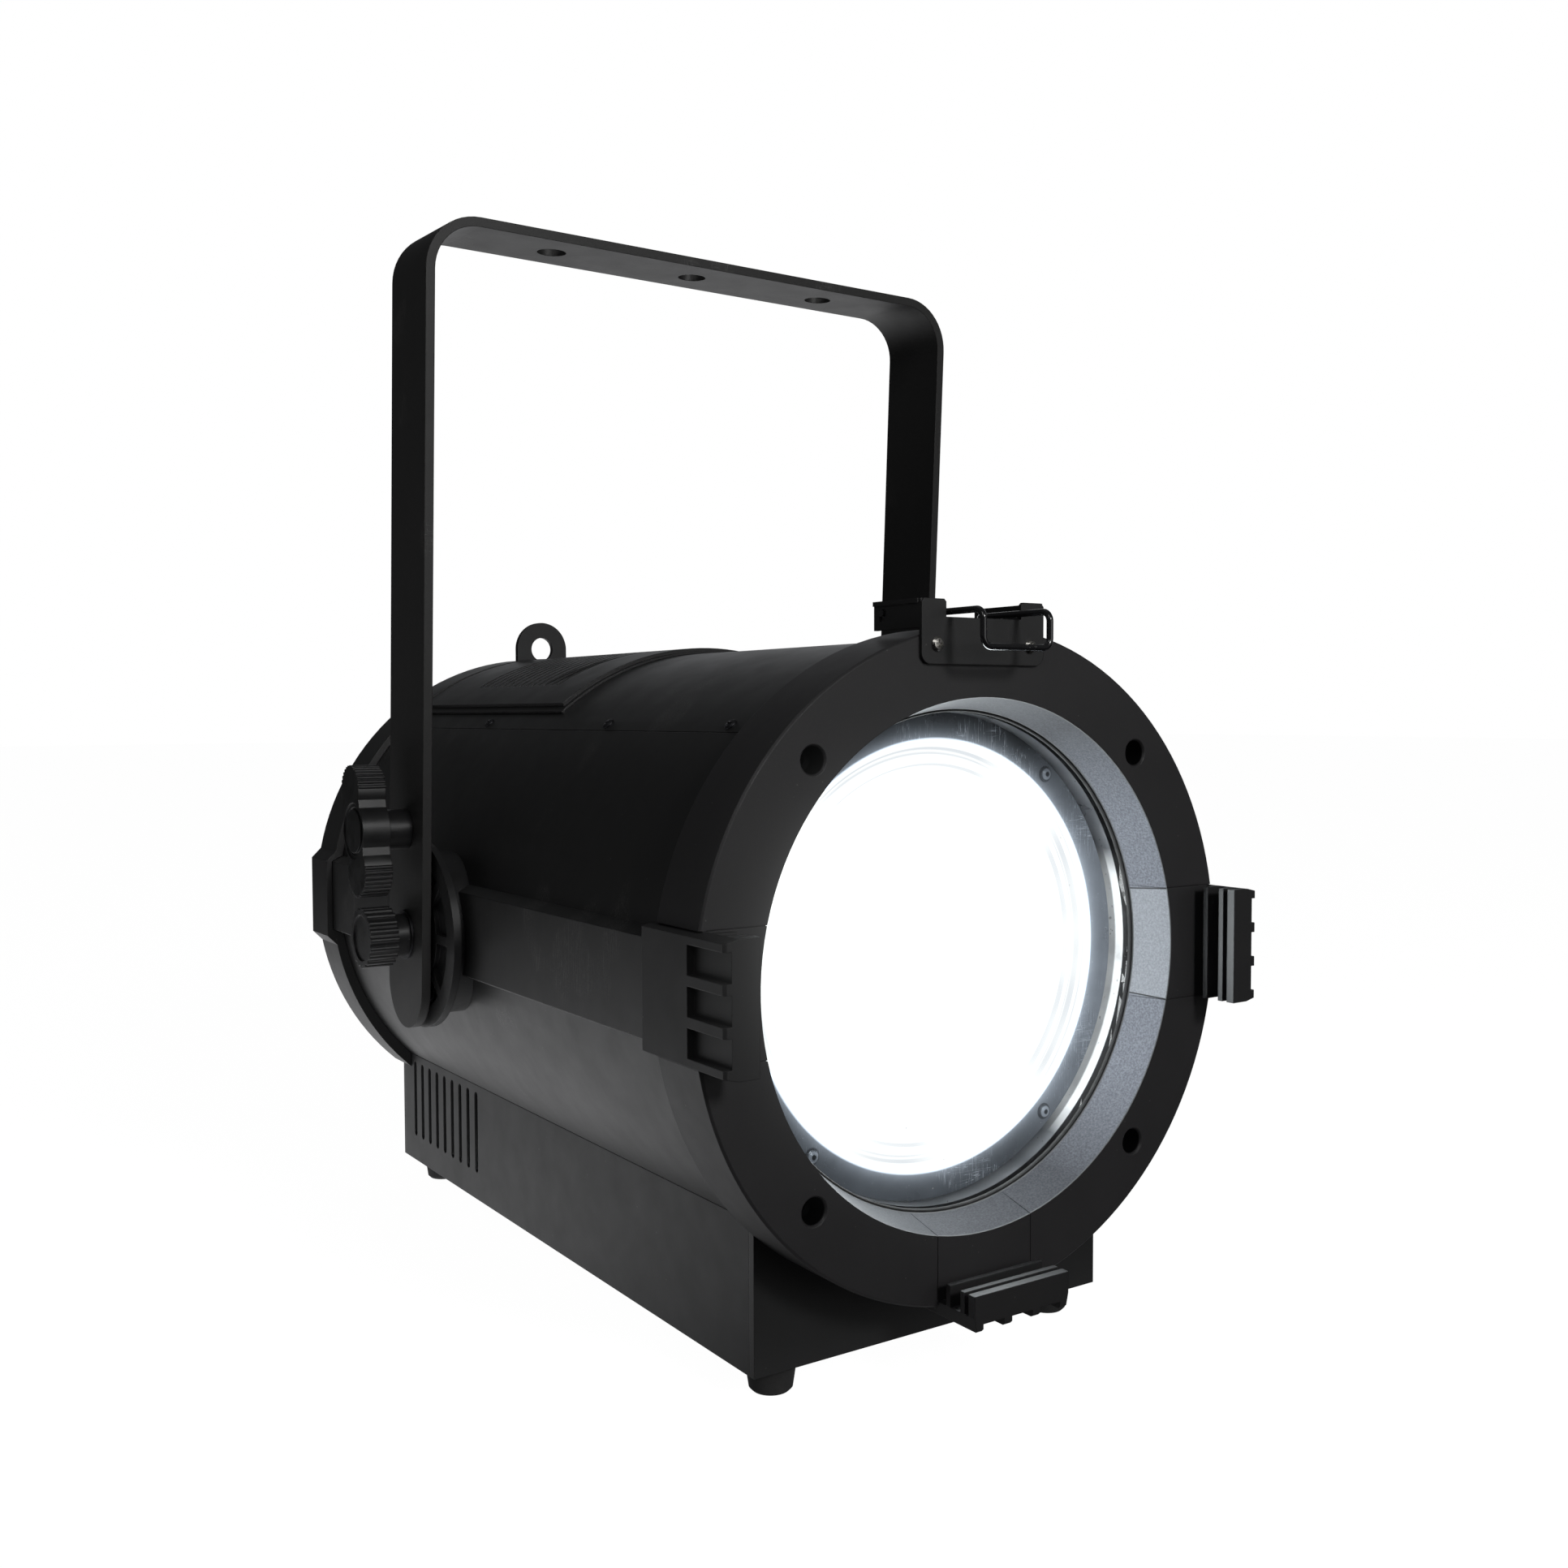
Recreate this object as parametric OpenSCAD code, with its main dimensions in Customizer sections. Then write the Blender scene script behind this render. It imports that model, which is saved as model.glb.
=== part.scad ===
// LED stage spotlight with a zooming lens, a steel hanging yoke and accessory slots.
// Modelled about the optical axis with the front ring's face at y = 0 and the beam
// leaving along -Y, then moved so that the yoke's centre hole is the origin.

/* [Front ring] */
// Outer radius of the front ring
ring_r = 125.5; // [115:0.5:135]
// Radius of the opening at the front face
open_r = 99.5; // [90:0.5:105]
// Depth of the front ring from front to back
ring_depth = 28; // [24:1:32]
// Radius of the circle the four ring screws sit on
ring_screw_circle = 110; // [108:0.5:112]

/* [Housing] */
// Outer radius of the tube
tube_r = 122; // [118:0.5:123]
// Wall of the tube's shells and covers
shell_t = 2.5; // [2:0.1:3]
// Front ring's face to the back of the housing
body_len = 379; // [370:1:400]
// Half the width of the base box
box_half = 84.7; // [80:0.1:88]
// Optical axis down to the underside of the base box
box_drop = 145; // [140:1:150]
// Wall of the base box
box_t = 1.5; // [1:0.1:2]
// Distance from the optical axis plane to the flat side rails
rail_x = 126; // [124:0.5:127]
// Half the height of the flat on each side rail
rail_half = 17.7; // [15:0.1:19]

/* [Yoke] */
// Width of the yoke bar
bar_w = 40; // [35:1:45]
// Thickness of the yoke bar
bar_t = 4; // [3:0.5:5]
// Half the span over the outside of the yoke's arms
yoke_half = 139; // [138:0.5:142]
// Tilt axis to the top of the yoke bar
yoke_rise = 307.6; // [295:0.1:320]
// How far the yoke leans towards the front at rest, in degrees
yoke_lean = 3; // [0:0.5:5]
// Outside radius of the yoke's two bends
bend_r = 24; // [20:1:30]
// Distance between the yoke's three hanging holes
hang_pitch = 72.8; // [60:0.1:80]
// Radius of each hanging hole
hang_r = 6.5; // [5:0.1:7]
// Tilt axis behind the front face
pivot_y = 226; // [215:1:235]
// Tilt axis above the optical axis
pivot_z = -3; // [-5:0.5:5]
// Tilt axis to the lock knob's screw
lock_rise = 46.8; // [44:0.1:50]

/* [Accessory slots] */
// Distance from the optical axis to the inner edge of the slots' fins
fin_inner = 113.1; // [110:0.1:115]
// Distance from the optical axis to the floor of the slots
slot_floor = 121; // [120:0.1:121.5]
// Half the height of each slot bracket
bracket_half = 22.8; // [20:0.1:24]

/* [Zoom] */
// Travel of the lens carriage
zoom_travel = 60; // [40:1:80]
// Radius of the lens
lens_r = 86.1; // [82:0.1:87]

/* [Hidden] */
$fn = 96;

// Gap left between parts that turn or slide in one another
run_gap = 0.05;
eps = 0.1;
plate_t = 3;
front_plate_y = ring_depth;
shell_y0 = front_plate_y + plate_t;
cap_y = body_len - plate_t;
rim_depth = 9;
rim_r = tube_r + 4.5;
rim_over = 3;
rim_drop = 1.5;
skirt_depth = 13;
tube_in = tube_r - shell_t;
seam_deg = 45.5;
lap_deg = 3.5;
lap_t = 2.5;
box_cut_deg = -52;
arm_in = yoke_half - bar_t;
disc_out = arm_in - 2;
disc_t = 3.4;
disc_r = 41.4;
hub_r = 9;
bolt_r = 5;
rod_r = 5;
rod_x = 93.5;
rod_z = 54;
screw_z = -108;
screw_r = 4;
tie_x = 79;
tie_r = 4;
carriage_y = 33;
reflector_y = carriage_y + zoom_travel + 57;
mid_y = reflector_y + 50;
glass_y = 17.2;
glass_front = 18.6;
glass_back = 21.1;
barrel_end = 29.4;
glass_r = 98;
black = [0.12, 0.12, 0.13];
steel = [0.72, 0.73, 0.75];
zinc = [0.8, 0.8, 0.78];
rubbery = [0.2, 0.2, 0.2];
board_green = [0.1, 0.35, 0.2];

// ---------- placing ----------

// Moves the whole fixture so that the centre hanging hole's mouth is the origin
module place() {
  translate([0, -pivot_y + yoke_rise * sin(yoke_lean), -pivot_z - yoke_rise * cos(yoke_lean)])
    children();
}

// Frame of the yoke: tilt axis at zero, bar straight above it
module yoke_frame() {
  place() translate([0, pivot_y, pivot_z]) rotate([yoke_lean, 0, 0]) children();
}

// Frame of the tilt axis on the housing
module pivot_frame() {
  place() translate([0, pivot_y, pivot_z]) children();
}

// ---------- shape helpers ----------

// Extrudes a drawing of x and z along y
module along_y(y0, y1) {
  translate([0, y1, 0]) rotate([90, 0, 0]) linear_extrude(y1 - y0) children();
}

// Extrudes a drawing of y and z along x
module along_x(x0, x1) {
  translate([x0, 0, 0]) rotate([90, 0, 90]) linear_extrude(x1 - x0) children();
}

module ycyl(r, y0, y1) {
  translate([0, y0, 0]) rotate([-90, 0, 0]) cylinder(r = r, h = y1 - y0);
}

module xcyl(r, x0, x1) {
  translate([x0, 0, 0]) rotate([0, 90, 0]) cylinder(r = r, h = x1 - x0);
}

// Turns a drawing of radius and y round the optical axis
module yrev() {
  rotate([-90, 0, 0]) rotate_extrude() children();
}

// The same, between two angles measured from +X towards +Z
module yarc(a1, a2) {
  rotate([-90, 0, 0]) rotate([0, 0, -a2]) rotate_extrude(angle = a2 - a1) children();
}

module band(r0, r1, y0, y1) {
  translate([r0, y0]) square([r1 - r0, y1 - y0]);
}

module ring2d(r0, r1) {
  difference() {
    circle(r = r1);
    circle(r = r0);
  }
}

// A slot with round ends, standing up
module capsule2d(w, h) {
  translate([0, (h - w) / 2]) circle(r = w / 2, $fn = 32);
  translate([0, -(h - w) / 2]) circle(r = w / 2, $fn = 32);
  square([w, h - w], center = true);
}

module round_rect2d(w, h, r) {
  square([w - 2 * r, h], center = true);
  square([w, h - 2 * r], center = true);
  for (x = [-1, 1]) {
    for (y = [-1, 1]) {
      translate([x * (w / 2 - r), y * (h / 2 - r)]) circle(r = r, $fn = 32);
    }
  }
}

// Pan-head screw with a cross recess, head above z = 0, shank below
module pan_screw(head_r, head_h, shank_r, len) {
  bar = head_r * 0.28;
  difference() {
    union() {
      rotate_extrude($fn = 48)
        polygon([[0, 0], [head_r, 0], [head_r, head_h * 0.4], [head_r * 0.75, head_h * 0.85],
          [head_r * 0.3, head_h], [0, head_h]]);
      translate([0, 0, -len]) cylinder(r = shank_r, h = len, $fn = 32);
    }
    for (a = [0, 90]) {
      rotate([0, 0, a])
        translate([-head_r * 0.55, -bar / 2, head_h * 0.45]) cube([head_r * 1.1, bar, head_h]);
    }
  }
}

// Socket-head screw, head above z = 0, shank below
module cap_screw(head_r, head_h, shank_r, len) {
  difference() {
    union() {
      cylinder(r = head_r, h = head_h, $fn = 48);
      translate([0, 0, -len]) cylinder(r = shank_r, h = len, $fn = 32);
    }
    translate([0, 0, head_h * 0.4]) cylinder(r = head_r * 0.5, h = head_h, $fn = 6);
  }
}

// Faces a screw's head towards the front or the back of the fixture
module head_front() {
  rotate([90, 0, 0]) children();
}

module head_back() {
  rotate([-90, 0, 0]) children();
}

module ring_screw_spots() {
  for (a = [45, 135, 225, 315]) {
    translate([ring_screw_circle * cos(a), 0, ring_screw_circle * sin(a)]) children();
  }
}

module tie_spots() {
  for (x = [-1, 1]) {
    for (z = [-1, 1]) {
      translate([x * tie_x, 0, z * tie_x]) children();
    }
  }
}

module rod_spots() {
  for (x = [-1, 1]) {
    translate([x * rod_x, 0, rod_z]) children();
  }
}

// ---------- outlines of the housing, looking along the beam ----------

module rail2d(x_out, half, drop, rise) {
  polygon([[100, -half - rise], [x_out - drop, -half - rise], [x_out, -half],
    [x_out, half], [x_out - drop, half + rise], [100, half + rise]]);
}

module rails2d(x_out, half, drop, rise) {
  rail2d(x_out, half, drop, rise);
  mirror([1, 0]) rail2d(x_out, half, drop, rise);
}

module body2d(grow) {
  circle(r = tube_r + grow);
  rails2d(rail_x + grow, rail_half + grow, 6, 2.8);
}

module box2d(half, drop) {
  translate([-half, -drop]) square([2 * half, drop]);
}

module cap2d(grow) {
  translate([0, -rim_drop]) {
    circle(r = rim_r + grow);
    rails2d(rail_x + rim_over + grow, rail_half + 2 + grow, 7, 7);
  }
}

// ---------- yoke and its knobs ----------

module yoke_path2d() {
  outer_w = 2 * yoke_half;
  low = 60;
  difference() {
    union() {
      translate([-yoke_half, -low]) square([outer_w, yoke_rise + low - bend_r]);
      translate([-yoke_half + bend_r, yoke_rise - bend_r])
        square([outer_w - 2 * bend_r, bend_r]);
      for (s = [-1, 1]) {
        translate([s * (yoke_half - bend_r), yoke_rise - bend_r]) circle(r = bend_r);
      }
    }
    union() {
      translate([-arm_in, -low - 1]) square([2 * arm_in, yoke_rise + low - bend_r + 1]);
      translate([-yoke_half + bend_r, yoke_rise - bend_r - 1])
        square([outer_w - 2 * bend_r, bend_r - bar_t + 1]);
      for (s = [-1, 1]) {
        translate([s * (yoke_half - bend_r), yoke_rise - bend_r])
          circle(r = bend_r - bar_t);
      }
    }
  }
}

module yoke() {
  end_drop = 41.5;
  tall = yoke_rise + 60;
  color(black) yoke_frame() difference() {
    intersection() {
      translate([0, bar_w / 2, 0]) rotate([90, 0, 0]) linear_extrude(bar_w) yoke_path2d();
      along_x(-yoke_half - 5, yoke_half + 5) union() {
        translate([0, -end_drop + bar_w / 2]) circle(r = bar_w / 2);
        translate([-bar_w / 2, -end_drop + bar_w / 2]) square([bar_w, tall]);
      }
    }
    for (i = [-1, 0, 1]) {
      translate([i * hang_pitch, 0, yoke_rise - bar_t - 1]) cylinder(r = hang_r, h = bar_t + 2);
    }
    for (s = [-1, 1]) {
      translate([s * (arm_in + bar_t / 2), 0, 0]) {
        xcyl(hub_r + run_gap, -bar_t, bar_t);
        translate([0, 0, lock_rise]) xcyl(bolt_r, -bar_t, bar_t);
      }
    }
  }
}

// Puts a knob's axis along the tilt axis with z = 0 on the arm's outer face
module left_arm() {
  translate([-yoke_half, 0, 0]) rotate([0, -90, 0]) children();
}

module right_arm() {
  mirror([1, 0, 0]) left_arm() children();
}

lock_stem_r = 8.75;
lock_stem = 11.5;
lock_thick = 12;

module lock_knob_outline() {
  lobe_at = 17;
  lobe_r = 11;
  hub = 13;
  ridge_r = 0.75;
  circle(r = hub);
  for (s = [0, 180]) {
    rotate([0, 0, s]) {
      translate([lobe_at, 0]) circle(r = lobe_r);
      translate([0, -lobe_r + 1.2]) square([lobe_at, 2 * lobe_r - 2.4]);
      for (a = [-88 : 11 : 88]) {
        translate([lobe_at + lobe_r * cos(a), lobe_r * sin(a)])
          circle(r = ridge_r, $fn = 16);
      }
    }
  }
}

module lock_knob() {
  top = lock_stem + lock_thick;
  rotate([0, 0, 15]) difference() {
    union() {
      translate([0, 0, run_gap]) cylinder(r = lock_stem_r, h = lock_stem - run_gap);
      translate([0, 0, lock_stem]) linear_extrude(lock_thick) lock_knob_outline();
    }
    translate([0, 0, -1]) cylinder(r = bolt_r - run_gap, h = lock_stem + 4);
    translate([0, 0, top - 1]) linear_extrude(2) ring2d(9.4, 10.4);
    translate([0, 0, top - 0.6]) linear_extrude(2) ring2d(10.4, 12.2);
  }
}

module lock_stud() {
  shoe_r = 11;
  translate([0, 0, -bar_t - 1]) cylinder(r = bolt_r - run_gap, h = bar_t + lock_stem + 4);
  translate([0, 0, -bar_t - 2 + run_gap]) cylinder(r = shoe_r, h = 2 - 2 * run_gap);
}

pivot_stem_r = 9.2;
pivot_stem = 7.5;
pivot_thick = 12.5;

module pivot_knob() {
  body_r = 12.2;
  flutes = 20;
  flute_r = 1.35;
  top = pivot_stem + pivot_thick;
  difference() {
    union() {
      translate([0, 0, 1]) cylinder(r = pivot_stem_r, h = pivot_stem);
      translate([0, 0, pivot_stem]) linear_extrude(pivot_thick) {
        circle(r = body_r);
        for (i = [0 : flutes - 1]) {
          rotate([0, 0, i * 360 / flutes]) translate([body_r - 0.3, 0])
            circle(r = flute_r, $fn = 24);
        }
      }
    }
    translate([0, 0, 0]) cylinder(r = bolt_r - run_gap, h = pivot_stem + 5);
    translate([0, 0, top - 0.7]) cylinder(r = body_r - 2.2, h = 2);
  }
}

module pivot_bolt() {
  reach = yoke_half - 107;
  translate([0, 0, -reach]) cylinder(r = bolt_r - run_gap, h = reach + pivot_stem + 5);
  translate([0, 0, run_gap]) cylinder(r = 10.8, h = 1 - run_gap);
}

module lock_spot() {
  translate([0, 0, lock_rise]) children();
}

module lock_knob_left() {
  color(black) yoke_frame() lock_spot() left_arm() lock_knob();
}

module lock_knob_right() {
  color(black) yoke_frame() lock_spot() right_arm() lock_knob();
}

module lock_stud_left() {
  color(steel) yoke_frame() lock_spot() left_arm() lock_stud();
}

module lock_stud_right() {
  color(steel) yoke_frame() lock_spot() right_arm() lock_stud();
}

module pivot_knob_left() {
  color(black) pivot_frame() left_arm() pivot_knob();
}

module pivot_knob_right() {
  color(black) pivot_frame() right_arm() pivot_knob();
}

module pivot_bolt_left() {
  color(steel) pivot_frame() left_arm() pivot_bolt();
}

module pivot_bolt_right() {
  color(steel) pivot_frame() right_arm() pivot_bolt();
}

// ---------- tilt discs ----------

disc_screw_r = 27.5;
pocket_depth = 2;

module disc_screw_spots() {
  for (a = [22.5, 157.5, 247.5]) {
    rotate([a, 0, 0]) translate([0, 0, disc_screw_r]) children();
  }
}

// Right-hand tilt disc, saddled over the side rail
module tilt_disc() {
  boss_r = 36;
  difference() {
    union() {
      xcyl(disc_r, disc_out - disc_t, disc_out);
      xcyl(boss_r, 100, disc_out - disc_t);
      xcyl(hub_r, disc_out - disc_t, yoke_half - 0.1);
    }
    translate([0, -pivot_y, -pivot_z]) along_y(pivot_y - 50, pivot_y + 50) body2d(0);
    xcyl(bolt_r, 90, yoke_half + 1);
    translate([disc_out - pocket_depth, 0, 0]) along_x(0, pocket_depth + 1) difference() {
      ring2d(21, 33);
      for (a = [0 : 45 : 135]) {
        rotate([0, 0, a]) square([80, 4], center = true);
      }
    }
    disc_screw_spots() xcyl(2.1, 90, yoke_half);
  }
}

module tilt_disc_right() {
  color(black) pivot_frame() tilt_disc();
}

module tilt_disc_left() {
  color(black) pivot_frame() mirror([1, 0, 0]) tilt_disc();
}

module tilt_disc_screws() {
  color(zinc) pivot_frame() for (m = [0, 1]) {
    mirror([m, 0, 0]) disc_screw_spots()
      translate([disc_out - pocket_depth, 0, 0]) rotate([0, 90, 0])
        pan_screw(3.4, 1.8, 1.95, 22);
  }
}

module pivot_blocks() {
  block_r = 34;
  inner = 106;
  color(steel) for (m = [0, 1]) {
    place() mirror([m, 0, 0]) difference() {
      intersection() {
        translate([0, pivot_y, pivot_z]) xcyl(block_r, inner, 125);
        along_y(pivot_y - 50, pivot_y + 50) circle(r = tube_in);
      }
      translate([0, pivot_y, pivot_z]) {
        xcyl(bolt_r, inner - 1, 130);
        disc_screw_spots() xcyl(2, inner - 1, 130);
      }
    }
  }
}

// ---------- housing shells ----------

cover_screw_deg = 47.3;
cover_screw_ys = [45, 140, 262, 350];

module cover_screw_spots() {
  for (y = cover_screw_ys) {
    for (a = [cover_screw_deg, 180 - cover_screw_deg]) {
      translate([0, y, 0]) rotate([0, -a, 0]) translate([tube_r, 0, 0]) rotate([0, 90, 0])
        children();
    }
  }
}

module wedge2d(a1, a2) {
  far = 220;
  polygon([[0, 0], [far * cos(a1), far * sin(a1)], [far, far * sin(a1)],
    [far, far * sin(a2)], [far * cos(a2), far * sin(a2)]]);
}

// Section of the right-hand shell: a wall with a flat rail and a lap for the cover
module side_section2d() {
  intersection() {
    difference() {
      body2d(0);
      circle(r = tube_in);
    }
    wedge2d(box_cut_deg, seam_deg - 0.1);
  }
  intersection() {
    ring2d(tube_in - lap_t, tube_in - run_gap);
    wedge2d(seam_deg - lap_deg, seam_deg + lap_deg);
  }
  intersection() {
    ring2d(tube_in - 0.6, tube_in + 0.6);
    wedge2d(seam_deg - lap_deg + 0.3, seam_deg - 0.4);
  }
}

module side_shell() {
  tail_y = 33;
  difference() {
    along_y(shell_y0, cap_y) side_section2d();
    translate([tube_r - run_gap, shell_y0 - 1, -bracket_half - eps])
      cube([20, tail_y + run_gap - shell_y0 + 1, 2 * bracket_half + 2 * eps]);
    translate([0, pivot_y, pivot_z]) {
      xcyl(bolt_r + 0.5, 90, 140);
      disc_screw_spots() xcyl(2.2, 90, 140);
    }
    cover_screw_spots() translate([0, 0, -12]) cylinder(r = 1.5, h = 20, $fn = 24);
  }
}

module side_shell_right() {
  color(black) place() side_shell();
}

module side_shell_left() {
  color(black) place() mirror([1, 0, 0]) side_shell();
}

vent_y0 = 226;
vent_pitch = 7;
vent_count = 14;
vent_w = 3.4;

module top_cover() {
  color(black) place() difference() {
    yarc(seam_deg + 0.05, 180 - seam_deg - 0.05)
      band(tube_in, tube_r, shell_y0, cap_y - run_gap);
    yarc(57, 123) band(tube_in - 5, tube_r + 5, vent_y0 - 5, vent_y0 + vent_count * vent_pitch);
    cover_screw_spots() translate([0, 0, -12]) cylinder(r = 1.6, h = 20, $fn = 24);
  }
}

module cover_screws() {
  color(zinc) place() cover_screw_spots() pan_screw(2.6, 1.1, 1.45, 5.2);
}

// Raised louvre cover over the opening in the top cover
module vent_cover() {
  y0 = 193;
  y1 = cap_y - rim_depth - 0.4;
  flange_t = 1.2;
  raise = 2.8;
  color(black) place() difference() {
    union() {
      yarc(50.5, 129.5) band(tube_r + run_gap, tube_r + flange_t, y0, y1);
      yarc(52.3, 127.7) band(tube_r + flange_t / 2, tube_r + raise, y0 + 3.4, y1 - 2);
    }
    for (i = [0 : vent_count - 1]) {
      yarc(59.5, 120.5)
        band(tube_r - 2, tube_r + 6, vent_y0 + i * vent_pitch, vent_y0 + i * vent_pitch + vent_w);
    }
  }
}

// ---------- front end ----------

module front_plate() {
  color(black) place() difference() {
    along_y(front_plate_y, shell_y0) difference() {
      union() {
        circle(r = tube_r);
        box2d(box_half, box_drop);
      }
      circle(r = 104);
    }
    ring_screw_spots() ycyl(2.5, front_plate_y - 1, shell_y0 + 1);
    rod_spots() ycyl(3.02, front_plate_y + 0.6, shell_y0 + 1);
    translate([0, 0, screw_z]) ycyl(2.5 + run_gap, front_plate_y + 0.6, shell_y0 + 1);
  }
}

screw_recess = 12;

// Where a bracket seats: three flats on the ring, at the sides and underneath
module bracket_turns() {
  for (a = [0, 90, 180]) {
    rotate([0, a, 0]) children();
  }
}

seam_w = 0.3;

// Fine seam beside a bracket's seat: across the face and down the inner wall
module insert_seam2d() {
  depth = 0.35;
  wall_front = sqrt(pow(open_r, 2) - pow(bracket_half, 2)) + depth;
  wall_back = sqrt(pow(glass_r - 2.8, 2) - pow(bracket_half, 2)) + depth;
  polygon([[85, -1], [tube_r - 1, -1], [tube_r - 1, depth], [wall_front, depth],
    [wall_back, glass_y - 1], [85, glass_y - 1]]);
}

module bezel() {
  face_t = 5;
  skirt_in = 119;
  barrel_out = 102;
  boss_r = 9.5;
  recess_r = 4.9;
  recess_lip_r = 5.6;
  color(black) place() difference() {
    union() {
      yrev() polygon([[open_r, 0], [ring_r - 0.8, 0], [ring_r, 0.8], [ring_r, ring_depth],
        [skirt_in, ring_depth], [skirt_in, face_t], [open_r + 4.5, face_t],
        [barrel_out, glass_y], [barrel_out, barrel_end], [glass_r + 0.2, barrel_end],
        [glass_r + 0.2, glass_y], [glass_r - 2.8, glass_y]]);
      ring_screw_spots() ycyl(boss_r, face_t - 1, ring_depth);
    }
    ring_screw_spots() {
      ycyl(recess_r, -1, screw_recess);
      ycyl(2.7, screw_recess - 1, ring_depth + 1);
      rotate([-90, 0, 0]) translate([0, 0, -eps])
        cylinder(r1 = recess_lip_r, r2 = recess_r, h = 0.8 + eps);
    }
    bracket_turns() {
      translate([tube_r, -1, -bracket_half - run_gap])
        cube([20, ring_depth + 2, 2 * bracket_half + 2 * run_gap]);
      for (z = [-12, 12]) {
        translate([0, 16, z]) {
          xcyl(2.1, 110, 130);
          xcyl(3.8, 110, skirt_in);
        }
      }
      for (z = [-bracket_half, bracket_half]) {
        translate([0, 0, z - seam_w / 2]) linear_extrude(seam_w) insert_seam2d();
      }
    }
    latch_screw_spots() ycyl(1.5, -1, face_t + 1);
  }
}

module bezel_screws() {
  head_h = 4;
  color(steel) place() ring_screw_spots() translate([0, screw_recess, 0]) head_front()
    cap_screw(4, head_h, 2.45, shell_y0 - screw_recess);
}

gasket_w = 3.8;

module glass_gasket() {
  color(rubbery) place() yrev() polygon([[glass_r - gasket_w, glass_y + 0.5],
    [glass_r - 3.4, glass_y], [glass_r, glass_y], [glass_r, glass_front],
    [glass_r - gasket_w, glass_front]]);
}

module front_glass() {
  color([0.7, 0.85, 0.9]) place() ycyl(glass_r, glass_front, glass_back);
}

module glass_retainer() {
  color(steel) place() yrev() band(glass_r - gasket_w, glass_r + 0.15, glass_back, barrel_end);
}

// Slot bracket at the +X side: a web with three fins that hold accessory frames
module bracket(tail) {
  face = 126.5;
  front = -20.5;
  fin_edges = [[0, -4.7], [-7, -12.6], [-14.9, -17]];
  edge = bracket_half;
  outer_edge = bracket_half - 1.3;
  pocket_floor = 123.7;
  pocket_pitch = 13.7;
  pocket_w = 10;
  difference() {
    intersection() {
      translate([0, 0, -edge]) linear_extrude(2 * edge) difference() {
        polygon([[fin_inner, 0], [tube_r, 0], [tube_r, tail], [face, tail],
          [face, front + 1], [face - 1, front], [fin_inner, front]]);
        for (e = fin_edges) {
          translate([fin_inner - 1, e[1]]) square([slot_floor - fin_inner + 1, e[0] - e[1]]);
        }
      }
      along_y(front - 1, tail + 1) polygon([[fin_inner - 1, -edge], [slot_floor, -edge],
        [face + 0.1, -outer_edge], [face + 0.1, outer_edge], [slot_floor, edge],
        [fin_inner - 1, edge]]);
    }
    for (i = [-1, 0, 1]) {
      translate([pocket_floor, front - 1, i * pocket_pitch - pocket_w / 2])
        cube([10, 2.6 - front + 1, pocket_w]);
    }
    for (z = [-12, 12]) {
      translate([0, 16, z]) xcyl(2, 110, face - 1.2);
    }
  }
}

side_tail = 33;

module bracket_right() {
  color(black) place() bracket(side_tail);
}

module bracket_left() {
  color(black) place() rotate([0, 180, 0]) bracket(side_tail);
}

module bracket_bottom() {
  color(black) place() rotate([0, 90, 0]) bracket(ring_depth);
}

module bracket_screws() {
  color(zinc) place() bracket_turns() for (z = [-12, 12]) {
    translate([119, 16, z]) rotate([0, -90, 0]) pan_screw(3.4, 1.8, 1.95, 5.8);
  }
}

// ---------- top latch ----------

latch_x = -2.5;
latch_half = 29.3;
latch_sheet = 1.5;
bail_y = 21;
bail_z = 130.2;
bail_r = 1.25;
bail_half = 15.85;
bail_front = -19;
bail_low = 117;
latch_screw_x = 22.3;
latch_screw_z = 118.4;

module latch_screw_spots() {
  for (s = [-1, 1]) {
    translate([latch_x + s * latch_screw_x, 0, latch_screw_z]) children();
  }
}

module latch_front2d() {
  low = 111.2;
  mid = 128.2;
  top = 134.6;
  tab = 11.3;
  corner = 4;
  difference() {
    translate([-latch_half, low]) square([2 * latch_half, top - low]);
    translate([-latch_half + tab, mid]) square([2 * (latch_half - tab), top]);
    for (s = [-1, 1]) {
      translate([s * (latch_half - corner), low + corner]) difference() {
        translate([s > 0 ? 0 : -corner - 1, -corner - 1]) square(corner + 1);
        circle(r = corner, $fn = 48);
      }
      translate([s * latch_screw_x, latch_screw_z]) circle(r = 1.7, $fn = 32);
      translate([s * latch_half, top]) rotate([0, 0, 45]) square(1.8, center = true);
      translate([s * (latch_half - tab), top]) rotate([0, 0, 45]) square(1.4, center = true);
    }
  }
}

module latch_housing() {
  flange_low = 124;
  flange_top = 134.6;
  hem_h = 1.7;
  hem_out = 0.6;
  slot_w = 3.6;
  slot_h = 4.4;
  color(black) place() translate([latch_x, 0, 0]) {
    along_y(-latch_sheet, 0) latch_front2d();
    for (s = [-1, 1]) {
      flange_back = s > 0 ? 36 : 26.4;
      flange_x = s > 0 ? latch_half - latch_sheet : -latch_half;
      difference() {
        union() {
          translate([flange_x, -latch_sheet / 2, flange_low])
            cube([latch_sheet, flange_back + latch_sheet / 2, flange_top - flange_low]);
          translate([s > 0 ? flange_x : flange_x - hem_out, 0.4, flange_top - hem_h])
            cube([latch_sheet + hem_out, flange_back - 0.4, hem_h]);
        }
        translate([s * latch_half - 3, bail_y - bail_r - run_gap, bail_z + bail_r - slot_h])
          cube([6, slot_w, slot_h + run_gap]);
      }
    }
  }
}

module latch_screws() {
  color(zinc) place() latch_screw_spots() translate([0, -latch_sheet, 0]) head_front()
    pan_screw(2.6, 1.5, 1.45, 5);
}

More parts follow.
